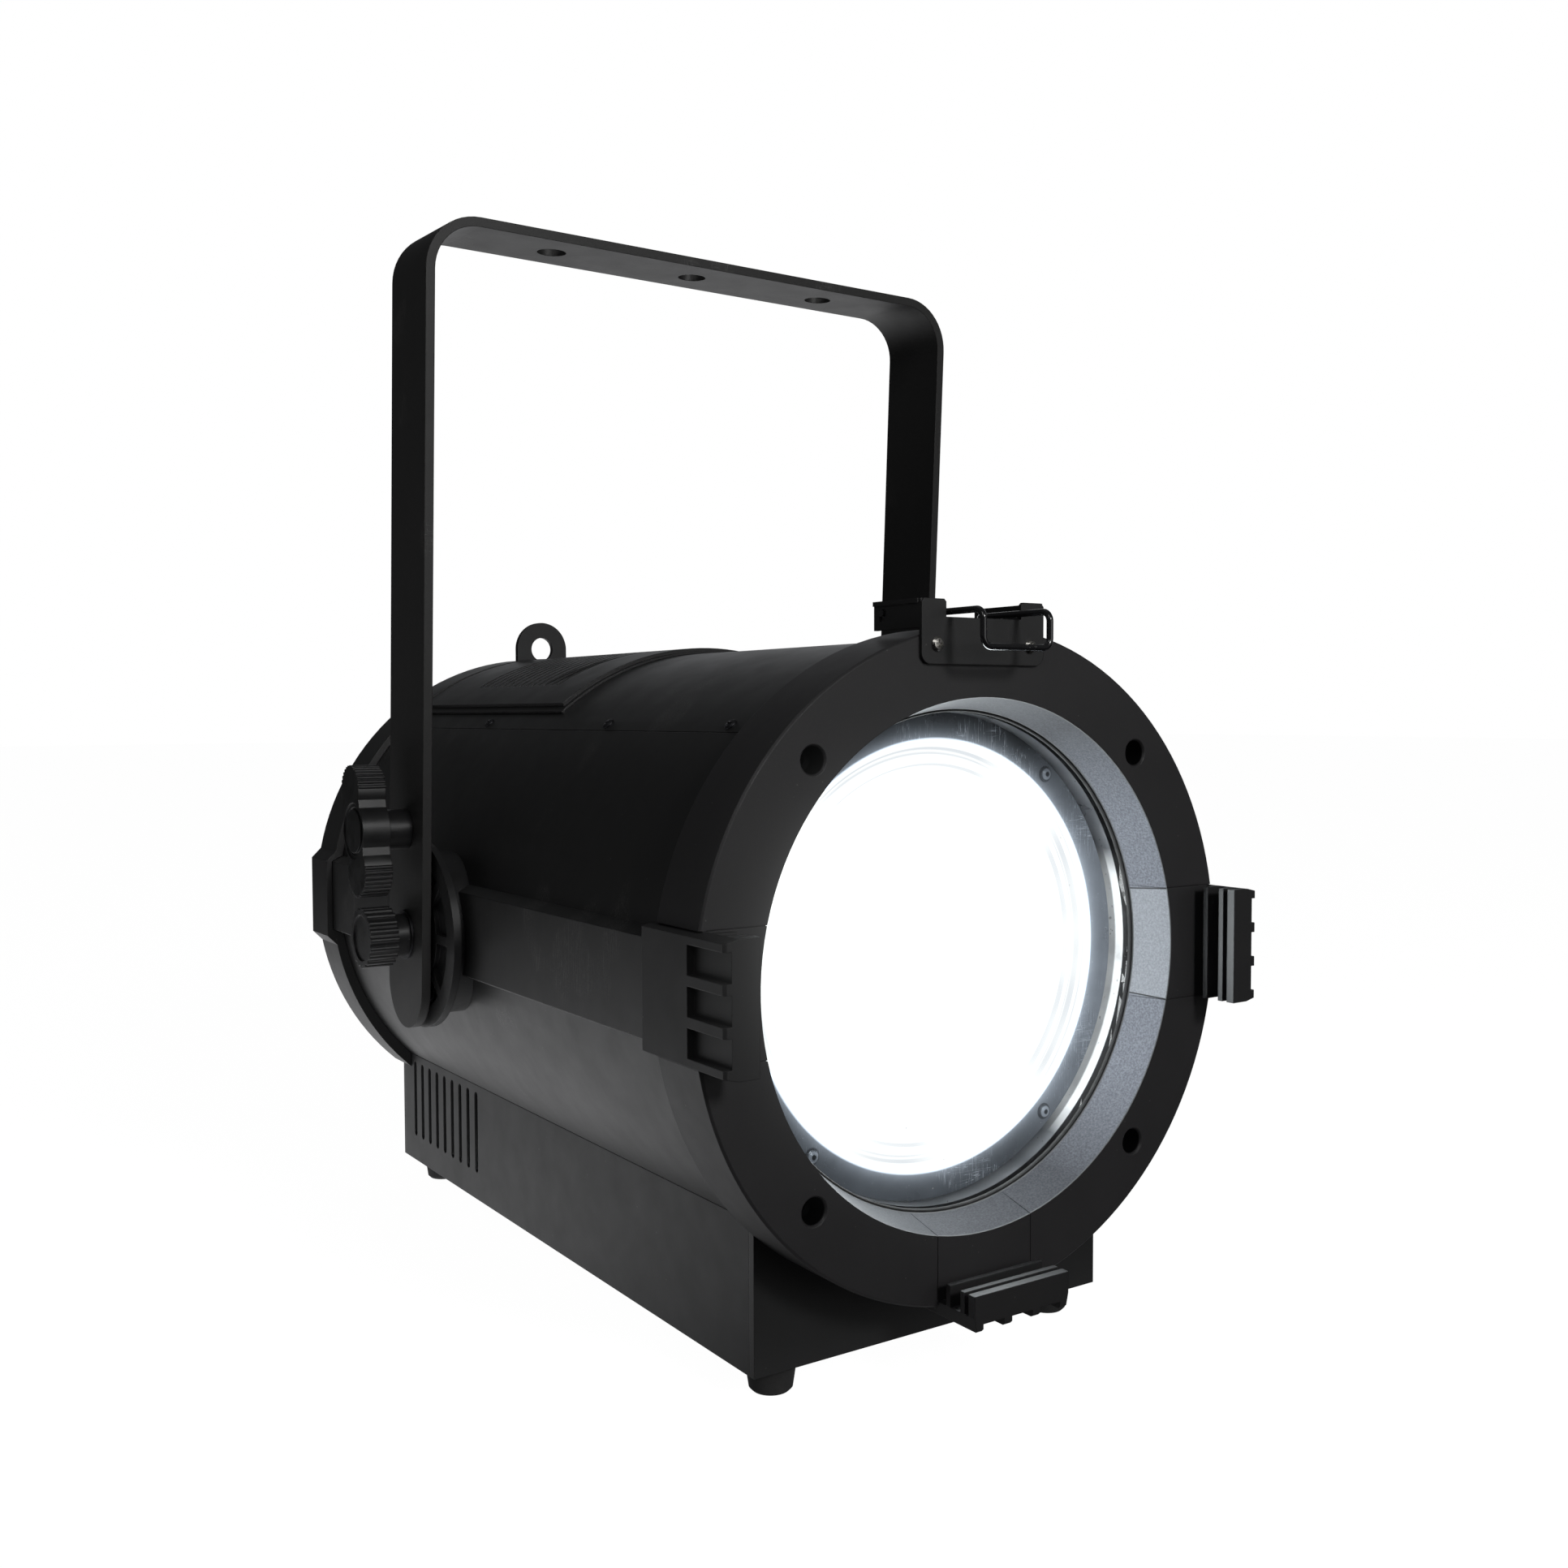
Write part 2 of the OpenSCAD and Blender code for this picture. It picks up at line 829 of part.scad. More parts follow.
// Quarter bend of the wire, starting along +y at x = bend, turning about z
module wire_bend(bend) {
  rotate_extrude(angle = 90) translate([bend, 0]) circle(r = bail_r, $fn = 32);
}

module bail_side() {
  bend = 3.6;
  end_x = latch_half + 1;
  // pivot end, along x
  translate([0, bail_y, bail_z]) xcyl(bail_r, bail_half + bend, end_x);
  // bend from x to the arm
  translate([bail_half + bend, bail_y - bend, bail_z]) rotate([0, 0, 90]) wire_bend(bend);
  // arm
  translate([bail_half, 0, bail_z]) ycyl(bail_r, bail_front + bend, bail_y - bend);
  // bend from the arm down to the leg
  translate([bail_half, bail_front + bend, bail_z - bend]) rotate([90, 0, -90])
    wire_bend(bend);
  // leg
  translate([bail_half, bail_front, bail_low + bend])
    cylinder(r = bail_r, h = bail_z - bail_low - 2 * bend, $fn = 32);
  // bend from the leg to the bottom bar
  translate([bail_half - bend, bail_front, bail_low + bend]) rotate([90, 90, 180])
    rotate([180, 0, 0]) wire_bend(bend);
  // half of the bottom bar
  translate([0, bail_front, bail_low]) xcyl(bail_r, 0, bail_half - bend);
}

module latch_bail() {
  color(black) place() translate([latch_x, 0, 0]) {
    bail_side($fn = 32);
    mirror([1, 0, 0]) bail_side($fn = 32);
  }
}

// ---------- base box and feet ----------

louvre_y0 = 279.4;
louvre_pitch = 10.28;
louvre_count = 9;
louvre_w = 3.8;
louvre_top = -91.5;
louvre_low = -131.6;
foot_x = 69.3;
foot_ys = [40.5, 362];

module foot_spots() {
  for (x = [-1, 1]) {
    for (y = foot_ys) {
      translate([x * foot_x, y, -box_drop]) children();
    }
  }
}

lug = 11;
lug_x = box_half - box_t - lug / 2;
lug_z = -box_drop + box_t + lug / 2;

module base_box() {
  color(black) place() difference() {
    union() {
      along_y(shell_y0, cap_y) difference() {
        translate([-box_half, -box_drop]) square([2 * box_half, box_drop - 80]);
        translate([-box_half + box_t, -box_drop + box_t])
          square([2 * (box_half - box_t), box_drop]);
        circle(r = tube_r);
      }
      for (s = [-1, 1]) {
        translate([s > 0 ? box_half - box_t - lug : -box_half + box_t, cap_y - 10,
            -box_drop + box_t])
          cube([lug, 10, lug]);
      }
    }
    for (s = [-1, 1]) {
      for (i = [0 : louvre_count - 1]) {
        translate([0, louvre_y0 + i * louvre_pitch, (louvre_top + louvre_low) / 2])
          along_x(s > 0 ? 80 : -90, s > 0 ? 90 : -80)
            capsule2d(louvre_w, louvre_top - louvre_low);
      }
      translate([s * lug_x, 0, lug_z]) ycyl(2, cap_y - 11, cap_y + 1);
    }
    foot_spots() translate([0, 0, -1]) cylinder(r = 2, h = 5);
  }
}

foot_tall = 11.2;

module feet() {
  top_r = 9.8;
  low_r = 7.9;
  color(rubbery) place() foot_spots() difference() {
    rotate_extrude() polygon([[0, 0], [top_r, 0], [low_r + 0.4, -foot_tall + 1.2],
      [low_r - 0.8, -foot_tall], [0, -foot_tall]]);
    translate([0, 0, -foot_tall - 1]) cylinder(r = 4.2, h = 5.5);
    translate([0, 0, -foot_tall]) cylinder(r = 2.2, h = foot_tall + 1);
  }
}

// ---------- back end ----------

display_z = -62;
display_w = 66;
display_h = 20;
button_z = -84;
button_r = 4.5;
button_xs = [-30, -10, 10, 30];
plug_z = -121;
plug_xs = [-62, -34, 34, 62];
plug_r = 11.5;
fan_z = 14;
fan_half = 60;

module fan_grille2d() {
  spoke = 5;
  difference() {
    for (r = [14 : 8 : 54]) {
      ring2d(r - 2.3, r + 2.3);
    }
    for (a = [45, 135]) {
      rotate([0, 0, a]) square([130, spoke], center = true);
    }
  }
}

eye_screw_z = 104;
eye_screw_x = 8;
// The rear skirt is open above this height, where the safety eye stands
skirt_gap_z = 100;

module rear_cap() {
  color(black) place() difference() {
    union() {
      along_y(cap_y, body_len) {
        cap2d(0);
        box2d(box_half, box_drop);
      }
      along_y(cap_y - rim_depth, cap_y + 1) difference() {
        cap2d(0);
        body2d(0.15);
        box2d(box_half + 0.3, box_drop);
      }
      along_y(body_len - 1, body_len + skirt_depth) difference() {
        cap2d(0);
        cap2d(-shell_t);
        box2d(box_half, box_drop);
        translate([-eye_half - 1, skirt_gap_z]) square([2 * eye_half + 2, rim_r - skirt_gap_z]);
      }
    }
    translate([0, 0, fan_z]) along_y(cap_y - 1, body_len + 1) fan_grille2d();
    translate([0, 0, display_z]) along_y(cap_y - 1, body_len + 1)
      round_rect2d(display_w, display_h, 2);
    for (x = button_xs) {
      translate([x, 0, button_z]) ycyl(button_r + run_gap, cap_y - 1, body_len + 1);
    }
    for (x = plug_xs) {
      translate([x, 0, plug_z]) ycyl(plug_r, cap_y - 1, body_len + 1);
    }
    translate([0, 0, screw_z]) ycyl(screw_r + run_gap, cap_y - 1, body_len + 1);
    tie_spots() ycyl(2.1, cap_y - 1, body_len + 1);
    for (s = [-1, 1]) {
      translate([s * lug_x, 0, lug_z]) ycyl(2.1, cap_y - 1, body_len + 1);
      translate([s * eye_screw_x, 0, eye_screw_z]) ycyl(2, cap_y - 1, body_len + 1);
    }
  }
}

eye_t = 3;

// Screws of the back, the lifting eye and the feet, all the same kind
module case_screws() {
  foot_recess = 4.5;
  color(zinc) place() {
    foot_spots() translate([0, 0, foot_recess - foot_tall]) rotate([180, 0, 0])
      pan_screw(3.6, 2.2, 1.95, foot_tall - foot_recess + box_t + 2.5);
    tie_spots() translate([0, body_len, 0]) head_back() pan_screw(3.6, 2.2, 1.95, 12);
    for (s = [-1, 1]) {
      translate([s * lug_x, body_len, lug_z]) head_back() pan_screw(3.6, 2.2, 1.95, 10);
      translate([s * eye_screw_x, body_len + eye_t, eye_screw_z]) head_back()
        pan_screw(3.6, 2.2, 1.95, 7);
    }
  }
}

eye_hole_z = 130.8;
eye_half = 15;
eye_hole_r = 6.5;

module safety_eye() {
  low = 96;
  color(black) place() along_y(body_len, body_len + eye_t) difference() {
    union() {
      translate([-eye_half, low]) square([2 * eye_half, eye_hole_z - low]);
      translate([0, eye_hole_z]) circle(r = eye_half);
    }
    translate([0, eye_hole_z]) circle(r = eye_hole_r);
    for (s = [-1, 1]) {
      translate([s * eye_screw_x, eye_screw_z]) circle(r = 2.1, $fn = 32);
    }
  }
}

// ---------- frame inside ----------

module tie_rods() {
  collar_r = 5.2;
  color(steel) place() tie_spots() difference() {
    union() {
      ycyl(tie_r, shell_y0, cap_y);
      ycyl(collar_r, mid_y - 3, mid_y);
      ycyl(collar_r, mid_y + plate_t, mid_y + plate_t + 3);
    }
    ycyl(2, cap_y - 14, cap_y + 1);
  }
}

module mid_plate() {
  plate_r = 116.8;
  notch_x = 104;
  color(zinc) place() difference() {
    along_y(mid_y, mid_y + plate_t) difference() {
      circle(r = plate_r);
      circle(r = 45);
      for (s = [-1, 1]) {
        translate([s * (notch_x + 10), pivot_z]) square([20, 74], center = true);
      }
    }
    tie_spots() ycyl(tie_r, mid_y - 1, mid_y + plate_t + 1);
    rod_spots() ycyl(3.02, mid_y - 1, mid_y + plate_t + 1);
    translate([0, 0, screw_z]) ycyl(screw_r + run_gap, mid_y - 1, mid_y + plate_t + 1);
  }
}

module guide_rods() {
  color(steel) place() rod_spots() {
    ycyl(rod_r, shell_y0, mid_y);
    ycyl(3, front_plate_y + 0.7, shell_y0 + 1);
    ycyl(3, mid_y - 1, mid_y + plate_t);
  }
}

// ---------- lens and zoom ----------

lens_back = 39;

module fresnel_lens() {
  grooves = 14;
  pitch = lens_r / grooves;
  front = carriage_y + 0.2;
  color([0.9, 0.95, 1]) place() yrev() polygon(concat(
    [[0, lens_back], [0, front]],
    [for (i = [0 : grooves - 1]) each [
      [i * pitch + 0.3, front], [(i + 1) * pitch, front + 0.25 + 0.17 * i]]],
    [[lens_r, lens_back]]));
}

carriage_ear_r = 9;
carriage_boss_r = 8.4;

// Lens ring with three ears: two for the guide rods and one for the screw's nut
module carriage2d() {
  ring2d(lens_r + 0.2, 100);
  difference() {
    union() {
      for (a = [atan2(rod_z, rod_x), 180 - atan2(rod_z, rod_x), 270]) {
        rotate([0, 0, a]) translate([92, -7]) square([12, 14]);
      }
      for (x = [-1, 1]) {
        translate([x * rod_x, rod_z]) circle(r = carriage_ear_r);
      }
      translate([0, screw_z]) circle(r = carriage_ear_r);
    }
    circle(r = 95);
  }
}

module lens_carriage() {
  ring_back = carriage_y + 8;
  lip_r = lens_r - 2.6;
  color(black) place() difference() {
    union() {
      along_y(carriage_y, ring_back) carriage2d();
      yrev() band(lip_r, lens_r + 3, lens_back, ring_back);
      rod_spots() ycyl(carriage_boss_r, carriage_y + 1, carriage_y + 16);
      translate([0, 0, screw_z]) ycyl(carriage_boss_r, carriage_y + 1, carriage_y + 12);
    }
    rod_spots() ycyl(rod_r + run_gap, carriage_y - 1, carriage_y + 20);
    translate([0, 0, screw_z]) ycyl(6.4, carriage_y - 1, carriage_y + 20);
    clamp_screw_spots() ycyl(1.5, carriage_y - 1, carriage_y + 5);
  }
}

clamp_screw_r = 90;

module clamp_screw_spots() {
  for (a = [50, 130, 230, 310]) {
    translate([clamp_screw_r * cos(a), 0, clamp_screw_r * sin(a)]) children();
  }
}

// Ring that holds the lens in the carriage, with its four screws' heads formed on
module lens_clamp_ring() {
  color(black) place() {
    yrev() band(lens_r - 2.6, 100, carriage_y - 3, carriage_y);
    clamp_screw_spots() translate([0, carriage_y - 3, 0]) head_front()
      rotate_extrude($fn = 48) polygon([[0, -0.5], [2.8, -0.5], [2.8, 0.7], [1.2, 1.5], [0, 1.5]]);
  }
}

module zoom_nut() {
  color([0.75, 0.6, 0.3]) place() translate([0, 0, screw_z]) difference() {
    union() {
      ycyl(6.3, carriage_y + 1, carriage_y + 12);
      ycyl(9, carriage_y + 12, carriage_y + 15);
    }
    ycyl(screw_r + run_gap, carriage_y, carriage_y + 16);
  }
}

module lead_screw() {
  collar_r = 7;
  knob_end = body_len + 14;
  color(steel) place() translate([0, 0, screw_z]) {
    ycyl(screw_r, shell_y0 + 0.1, knob_end);
    ycyl(2.5, front_plate_y + 0.8, shell_y0 + 1);
    ycyl(collar_r, mid_y - 3.1, mid_y - 0.1);
    ycyl(collar_r, mid_y + plate_t + 0.1, mid_y + plate_t + 3.1);
  }
}

module zoom_knob() {
  knob_r = 13;
  grips = 18;
  y0 = body_len + 1;
  y1 = body_len + 18;
  color(black) place() translate([0, 0, screw_z]) difference() {
    union() {
      along_y(y0 + 2, y1) {
        circle(r = knob_r);
        for (i = [0 : grips - 1]) {
          rotate([0, 0, i * 360 / grips]) translate([knob_r - 0.2, 0])
            circle(r = 1.1, $fn = 24);
        }
      }
      ycyl(8, y0, y0 + 3);
    }
    ycyl(screw_r, y0 - 1, body_len + 14);
    translate([0, y1 - 1.5, 8]) ycyl(1.6, 0, 2);
  }
}

// ---------- light engine ----------

module reflector() {
  flange_y = mid_y + plate_t;
  back_y = flange_y + 1.5;
  color([0.9, 0.9, 0.9]) place() yrev()
    polygon([[20, back_y], [20, flange_y], [21, mid_y], [52, reflector_y],
      [54, reflector_y], [23, flange_y], [49, flange_y], [49, back_y]]);
}

board_y = mid_y + plate_t + 4;

module led_board() {
  half = 33;
  color([0.9, 0.85, 0.5]) place() {
    translate([-half, board_y, -half]) cube([2 * half, 3, 2 * half]);
    ycyl(17, board_y - 1.4, board_y);
  }
}

module heat_sink() {
  half = 70;
  base_y = board_y + 3;
  base_t = 8;
  fin_end = 300;
  fin_t = 2;
  fin_count = 20;
  fin_pitch = (2 * half - fin_t) / (fin_count - 1);
  color([0.6, 0.6, 0.62]) place() {
    translate([0, 0, -half]) linear_extrude(2 * half) {
      translate([-half, base_y]) square([2 * half, base_t]);
      for (i = [0 : fin_count - 1]) {
        translate([-half + i * fin_pitch, base_y]) square([fin_t, fin_end - base_y]);
      }
    }
    for (x = [-1, 1]) {
      for (z = [-1, 1]) {
        translate([x * 60, 0, z * 60]) ycyl(5, mid_y + plate_t, base_y + 1);
      }
    }
  }
}

fan_y0 = 306;
fan_y1 = 331;

module fan_frame() {
  color(black) place() translate([0, 0, fan_z]) difference() {
    union() {
      along_y(fan_y0, fan_y1) difference() {
        round_rect2d(2 * fan_half, 2 * fan_half, 6);
        circle(r = 57.5);
      }
      along_y(fan_y1 - 4, fan_y1) intersection() {
        circle(r = 58.5);
        union() {
          circle(r = 20);
          for (a = [20, 110]) {
            rotate([0, 0, a]) square([118, 5], center = true);
          }
        }
      }
      for (x = [-1, 1]) {
        for (z = [-1, 1]) {
          translate([x * 52, 0, z * 52]) ycyl(4, fan_y0 - 6, fan_y0 + 1);
        }
      }
    }
    ycyl(2.5 + run_gap, fan_y1 - 5, fan_y1 + 1);
  }
}

module fan_rotor() {
  blades = 7;
  color([0.16, 0.16, 0.17]) place() translate([0, 0, fan_z]) {
    ycyl(19, fan_y0 + 1.5, fan_y1 - 5);
    ycyl(2.5, fan_y1 - 6, fan_y1 - 0.5);
    for (i = [0 : blades - 1]) {
      rotate([0, i * 360 / blades, 0]) intersection() {
        translate([0, (fan_y0 + fan_y1) / 2 - 2, 17]) rotate([0, 0, 38])
          translate([-1, -13, 0]) cube([2, 26, 38.5]);
        translate([-30, fan_y0 + 2, 10]) cube([60, fan_y1 - fan_y0 - 8, 50]);
        ycyl(56, fan_y0, fan_y1);
      }
    }
  }
}

// ---------- electronics ----------

module power_supply() {
  x0 = 14;
  x1 = 80;
  z0 = -box_drop + box_t;
  tall = 26;
  color([0.75, 0.76, 0.78]) place() difference() {
    union() {
      translate([x0, 122, z0]) cube([x1 - x0, 176, tall]);
      translate([x0 + 4, 298, z0]) cube([x1 - x0 - 8, 10, 16]);
    }
    for (y = [140 : 14 : 280]) {
      translate([(x0 + x1) / 2 - 20, y, z0 + tall - 1.5]) cube([40, 6, 3]);
    }
  }
}

module led_driver() {
  z0 = -box_drop + box_t;
  color(board_green) place() {
    translate([-80, 120, z0]) cube([64, 150, 5]);
    translate([-74, 130, z0 + 4]) cube([30, 28, 24]);
    translate([-74, 170, z0 + 4]) cube([26, 30, 20]);
    for (i = [0 : 3]) {
      translate([-30, 135 + i * 26, z0 + 4]) cylinder(r = 8, h = 22, $fn = 48);
    }
  }
}

module control_board() {
  y0 = 361;
  color(board_green) place() {
    translate([-45, y0, -97]) cube([90, 2, 50]);
    translate([-30, y0 + 1, display_z - 8]) cube([60, 7, 16]);
    for (x = button_xs) {
      translate([x - 3, y0 + 1, button_z - 3]) cube([6, 9, 6]);
    }
    translate([-20, y0 - 6, -92]) cube([40, 7, 8]);
  }
}

module display_window() {
  color([0.3, 0.45, 0.6]) place() translate([0, 0, display_z]) {
    along_y(cap_y, body_len - 0.5) round_rect2d(display_w - 0.1, display_h - 0.1, 1.95);
    along_y(cap_y - 1.5, cap_y) round_rect2d(display_w + 6, display_h + 5, 2);
  }
}

// One push button with a flange behind the panel
module button(x) {
  color([0.75, 0.75, 0.75]) place() translate([x, 0, button_z]) {
    ycyl(button_r, cap_y - 2.5, body_len + 2);
    ycyl(button_r + 1.5, cap_y - 3, cap_y - 0.1);
  }
}

module button_menu() {
  button(button_xs[0]);
}

module button_up() {
  button(button_xs[1]);
}

module button_down() {
  button(button_xs[2]);
}

module button_enter() {
  button(button_xs[3]);
}

// Two mains sockets and two data sockets
module rear_connectors() {
  flange_w = 25.5;
  flange_h = 30;
  color([0.2, 0.25, 0.4]) place() for (i = [0 : 3]) {
    translate([plug_xs[i], 0, plug_z]) difference() {
      union() {
        along_y(body_len, body_len + 2.2) round_rect2d(flange_w, flange_h, 2.5);
        ycyl(plug_r - 0.1, cap_y - 26, body_len + 1);
        ycyl(11, body_len, body_len + 5);
      }
      ycyl(9, cap_y - 10, body_len + 6);
      for (s = [-1, 1]) {
        translate([s * 9.5, 0, s * 12]) ycyl(1.3, body_len - 1, body_len + 3);
      }
    }
    translate([plug_xs[i], 0, plug_z]) {
      if (i < 2) {
        ycyl(4.5, cap_y - 11, body_len + 2);
      } else {
        for (a = [90, 210, 330]) {
          translate([4.5 * cos(a), 0, 4.5 * sin(a)]) ycyl(1.2, cap_y - 11, body_len + 2, $fn = 24);
        }
      }
    }
  }
}

// Flat looms: supply to sockets, driver to light engine, board to driver
module wiring() {
  t = 2;
  z0 = -box_drop + box_t;
  under = -78;
  color(rubbery) place() {
    translate([0, 0, z0]) linear_extrude(t)
      polygon([[30, 308], [60, 308], [60, 340], [70, 340], [70, 346], [-70, 346], [-70, 336],
        [30, 336]]);
    translate([0, 0, plug_z + 4]) linear_extrude(4) translate([-66, 345]) square([136, 5]);
    for (x = [-64, 60]) {
      translate([x, 341, z0]) cube([4, 5, plug_z + 6 - z0]);
    }
    along_x(-14, -6) polygon([[270, z0], [355, z0], [355, -94], [361, -94], [361, -92],
      [353, -92], [353, z0 + t], [270, z0 + t]]);
    translate([-26, 270, z0]) cube([20, 6, t]);
    along_x(-26, -18) polygon([[270, z0], [276, z0], [276, under + t],
      [board_y, under + t], [board_y, -30], [board_y - t, -30], [board_y - t, under],
      [274, under], [274, z0 + 3], [270, z0 + 3]]);
  }
}

yoke();
lock_knob_left();
lock_stud_left();
lock_knob_right();
lock_stud_right();
pivot_knob_left();
pivot_bolt_left();
pivot_knob_right();
pivot_bolt_right();
tilt_disc_left();
tilt_disc_right();
tilt_disc_screws();
pivot_blocks();
side_shell_left();
side_shell_right();
top_cover();
cover_screws();
vent_cover();
front_plate();
bezel();
bezel_screws();
glass_gasket();
front_glass();
glass_retainer();
bracket_left();
bracket_right();
bracket_bottom();
bracket_screws();
latch_housing();
latch_screws();
latch_bail();
base_box();
feet();
rear_cap();
case_screws();
safety_eye();
tie_rods();
fresnel_lens();
lens_carriage();
lens_clamp_ring();
zoom_nut();
guide_rods();
lead_screw();
zoom_knob();
mid_plate();
reflector();
led_board();
heat_sink();
fan_frame();
fan_rotor();
power_supply();
led_driver();
control_board();
display_window();
button_menu();
button_up();
button_down();
button_enter();
rear_connectors();
wiring();
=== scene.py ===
"""Materials, light and camera for the stage spotlight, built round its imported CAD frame."""

import math
from functools import reduce

import bmesh
import bpy
from mathutils import Matrix, Vector


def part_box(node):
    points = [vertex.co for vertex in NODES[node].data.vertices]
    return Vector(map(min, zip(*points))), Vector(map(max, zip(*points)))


MM = 0.001
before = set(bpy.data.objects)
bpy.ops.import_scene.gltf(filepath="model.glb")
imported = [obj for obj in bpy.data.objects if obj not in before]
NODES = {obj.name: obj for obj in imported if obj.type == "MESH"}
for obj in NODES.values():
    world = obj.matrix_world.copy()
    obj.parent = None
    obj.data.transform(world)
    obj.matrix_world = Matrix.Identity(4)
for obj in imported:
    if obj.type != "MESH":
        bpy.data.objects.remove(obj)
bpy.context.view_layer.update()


# ---------- places, from the frame ----------

LENS_LOW, LENS_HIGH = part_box("fresnel_lens")
AXIS = (LENS_LOW + LENS_HIGH) / 2  # a point on the optical axis, which runs along Y
LENS_R = (LENS_HIGH.x - LENS_LOW.x) / 2
FACE_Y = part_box("bezel")[0].y  # front face of the big front ring
REAR_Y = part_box("rear_cap")[1].y  # outer face of the back panel
FLOOR_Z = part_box("feet")[0].z
SCREEN_LOW, SCREEN_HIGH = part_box("display_window")
SCREEN = (SCREEN_LOW + SCREEN_HIGH) / 2  # middle of the display
DRIVER_BOARD_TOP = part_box("led_driver")[0].z + 5.0 * MM
CONTROL_BOARD_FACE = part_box("control_board")[0].y + 8.0 * MM

# The front ring's inner wall, with light and shade painted on it
WALL_R = 99.7 * MM  # just outside the opening, so that the painted light stays off the flat face
WALL_END = 16.6 * MM  # depth at which the wall's painted light ends
INSERT_SIDE = 0.974  # cosine of the angle over which the wall's inserts reach, which carry stronger painted light
RING_SCREW = 110.0 * math.sqrt(0.5) * MM  # how far across, and how far up, its screws stand
RECESS_R = 5.6 * MM  # recess round each of those screws, painted near-black as shade

# The ring that clamps the lens, and the ring between gasket and glass that carries a painted
# highlight
LIP_R = LENS_R - 2.6 * MM  # inner edge of the clamp ring
CLAMP_SCREW_X, CLAMP_SCREW_Z = 57.85 * MM, 68.94 * MM
EDGE_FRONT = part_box("glass_retainer")[0].y
EDGE_DEEP = EDGE_FRONT + 4.2 * MM  # where that ring's painted highlight ends
EDGE_AIM = math.radians(-15.0)  # middle of its painted highlight's arc, up from the right-hand side


# ---------- colours and light levels ----------

BLACK = (0.0118, 0.0118, 0.0120)
WARM_BLACK = (0.0180, 0.0176, 0.0173)
RING_BLACK = (0.0225, 0.0216, 0.0228)
SHEET_BLACK = (0.0185, 0.0185, 0.0190)
BRACKET_BLACK = (0.0160, 0.0156, 0.0163)
# Painted shade in the recesses round the front ring's screws
RECESS_SHADE = (0.002, 0.002, 0.002)
SEAM = (0.03, 0.03, 0.032)
WORN_PAINT = (0.045, 0.044, 0.043)
DUST = (0.12, 0.12, 0.115)
PALE_DUST = (0.16, 0.16, 0.15)
SCRATCH = (0.16, 0.155, 0.15)
# Painted light from the lens on the front ring's inner wall, and the stronger painted light on
# its inserts
WALL_PAINTED_LIGHT = ((0.096, 0.100, 0.116), (0.160, 0.166, 0.188))
INSERT_PAINTED_LIGHT = ((0.165, 0.171, 0.186), (0.225, 0.232, 0.250))
SOLDER_GREEN = (0.02, 0.11, 0.05)
WHITE = (1.0, 1.0, 1.0)

LENS_WHITE = 2.2  # how far past white the lit lens looks, in the middle
LENS_RIM = 1.12  # and at its rim
LENS_POWER = 10.0  # what the lens gives off as a lamp
GLOW_FALL = 2.6 * MM  # how fast the painted reflection of the lens glow fades across the ring round it
SHEEN = 0.5  # how much a painted surface mirrors


# ---------- node graphs ----------


def grey(level):
    """A neutral colour; a level past 1 is brighter than white."""
    return (level, level, level)


def scaled(colour, factor):
    """The colour made lighter or darker, with no channel past 1."""
    return tuple(min(1.0, channel * factor) for channel in colour)


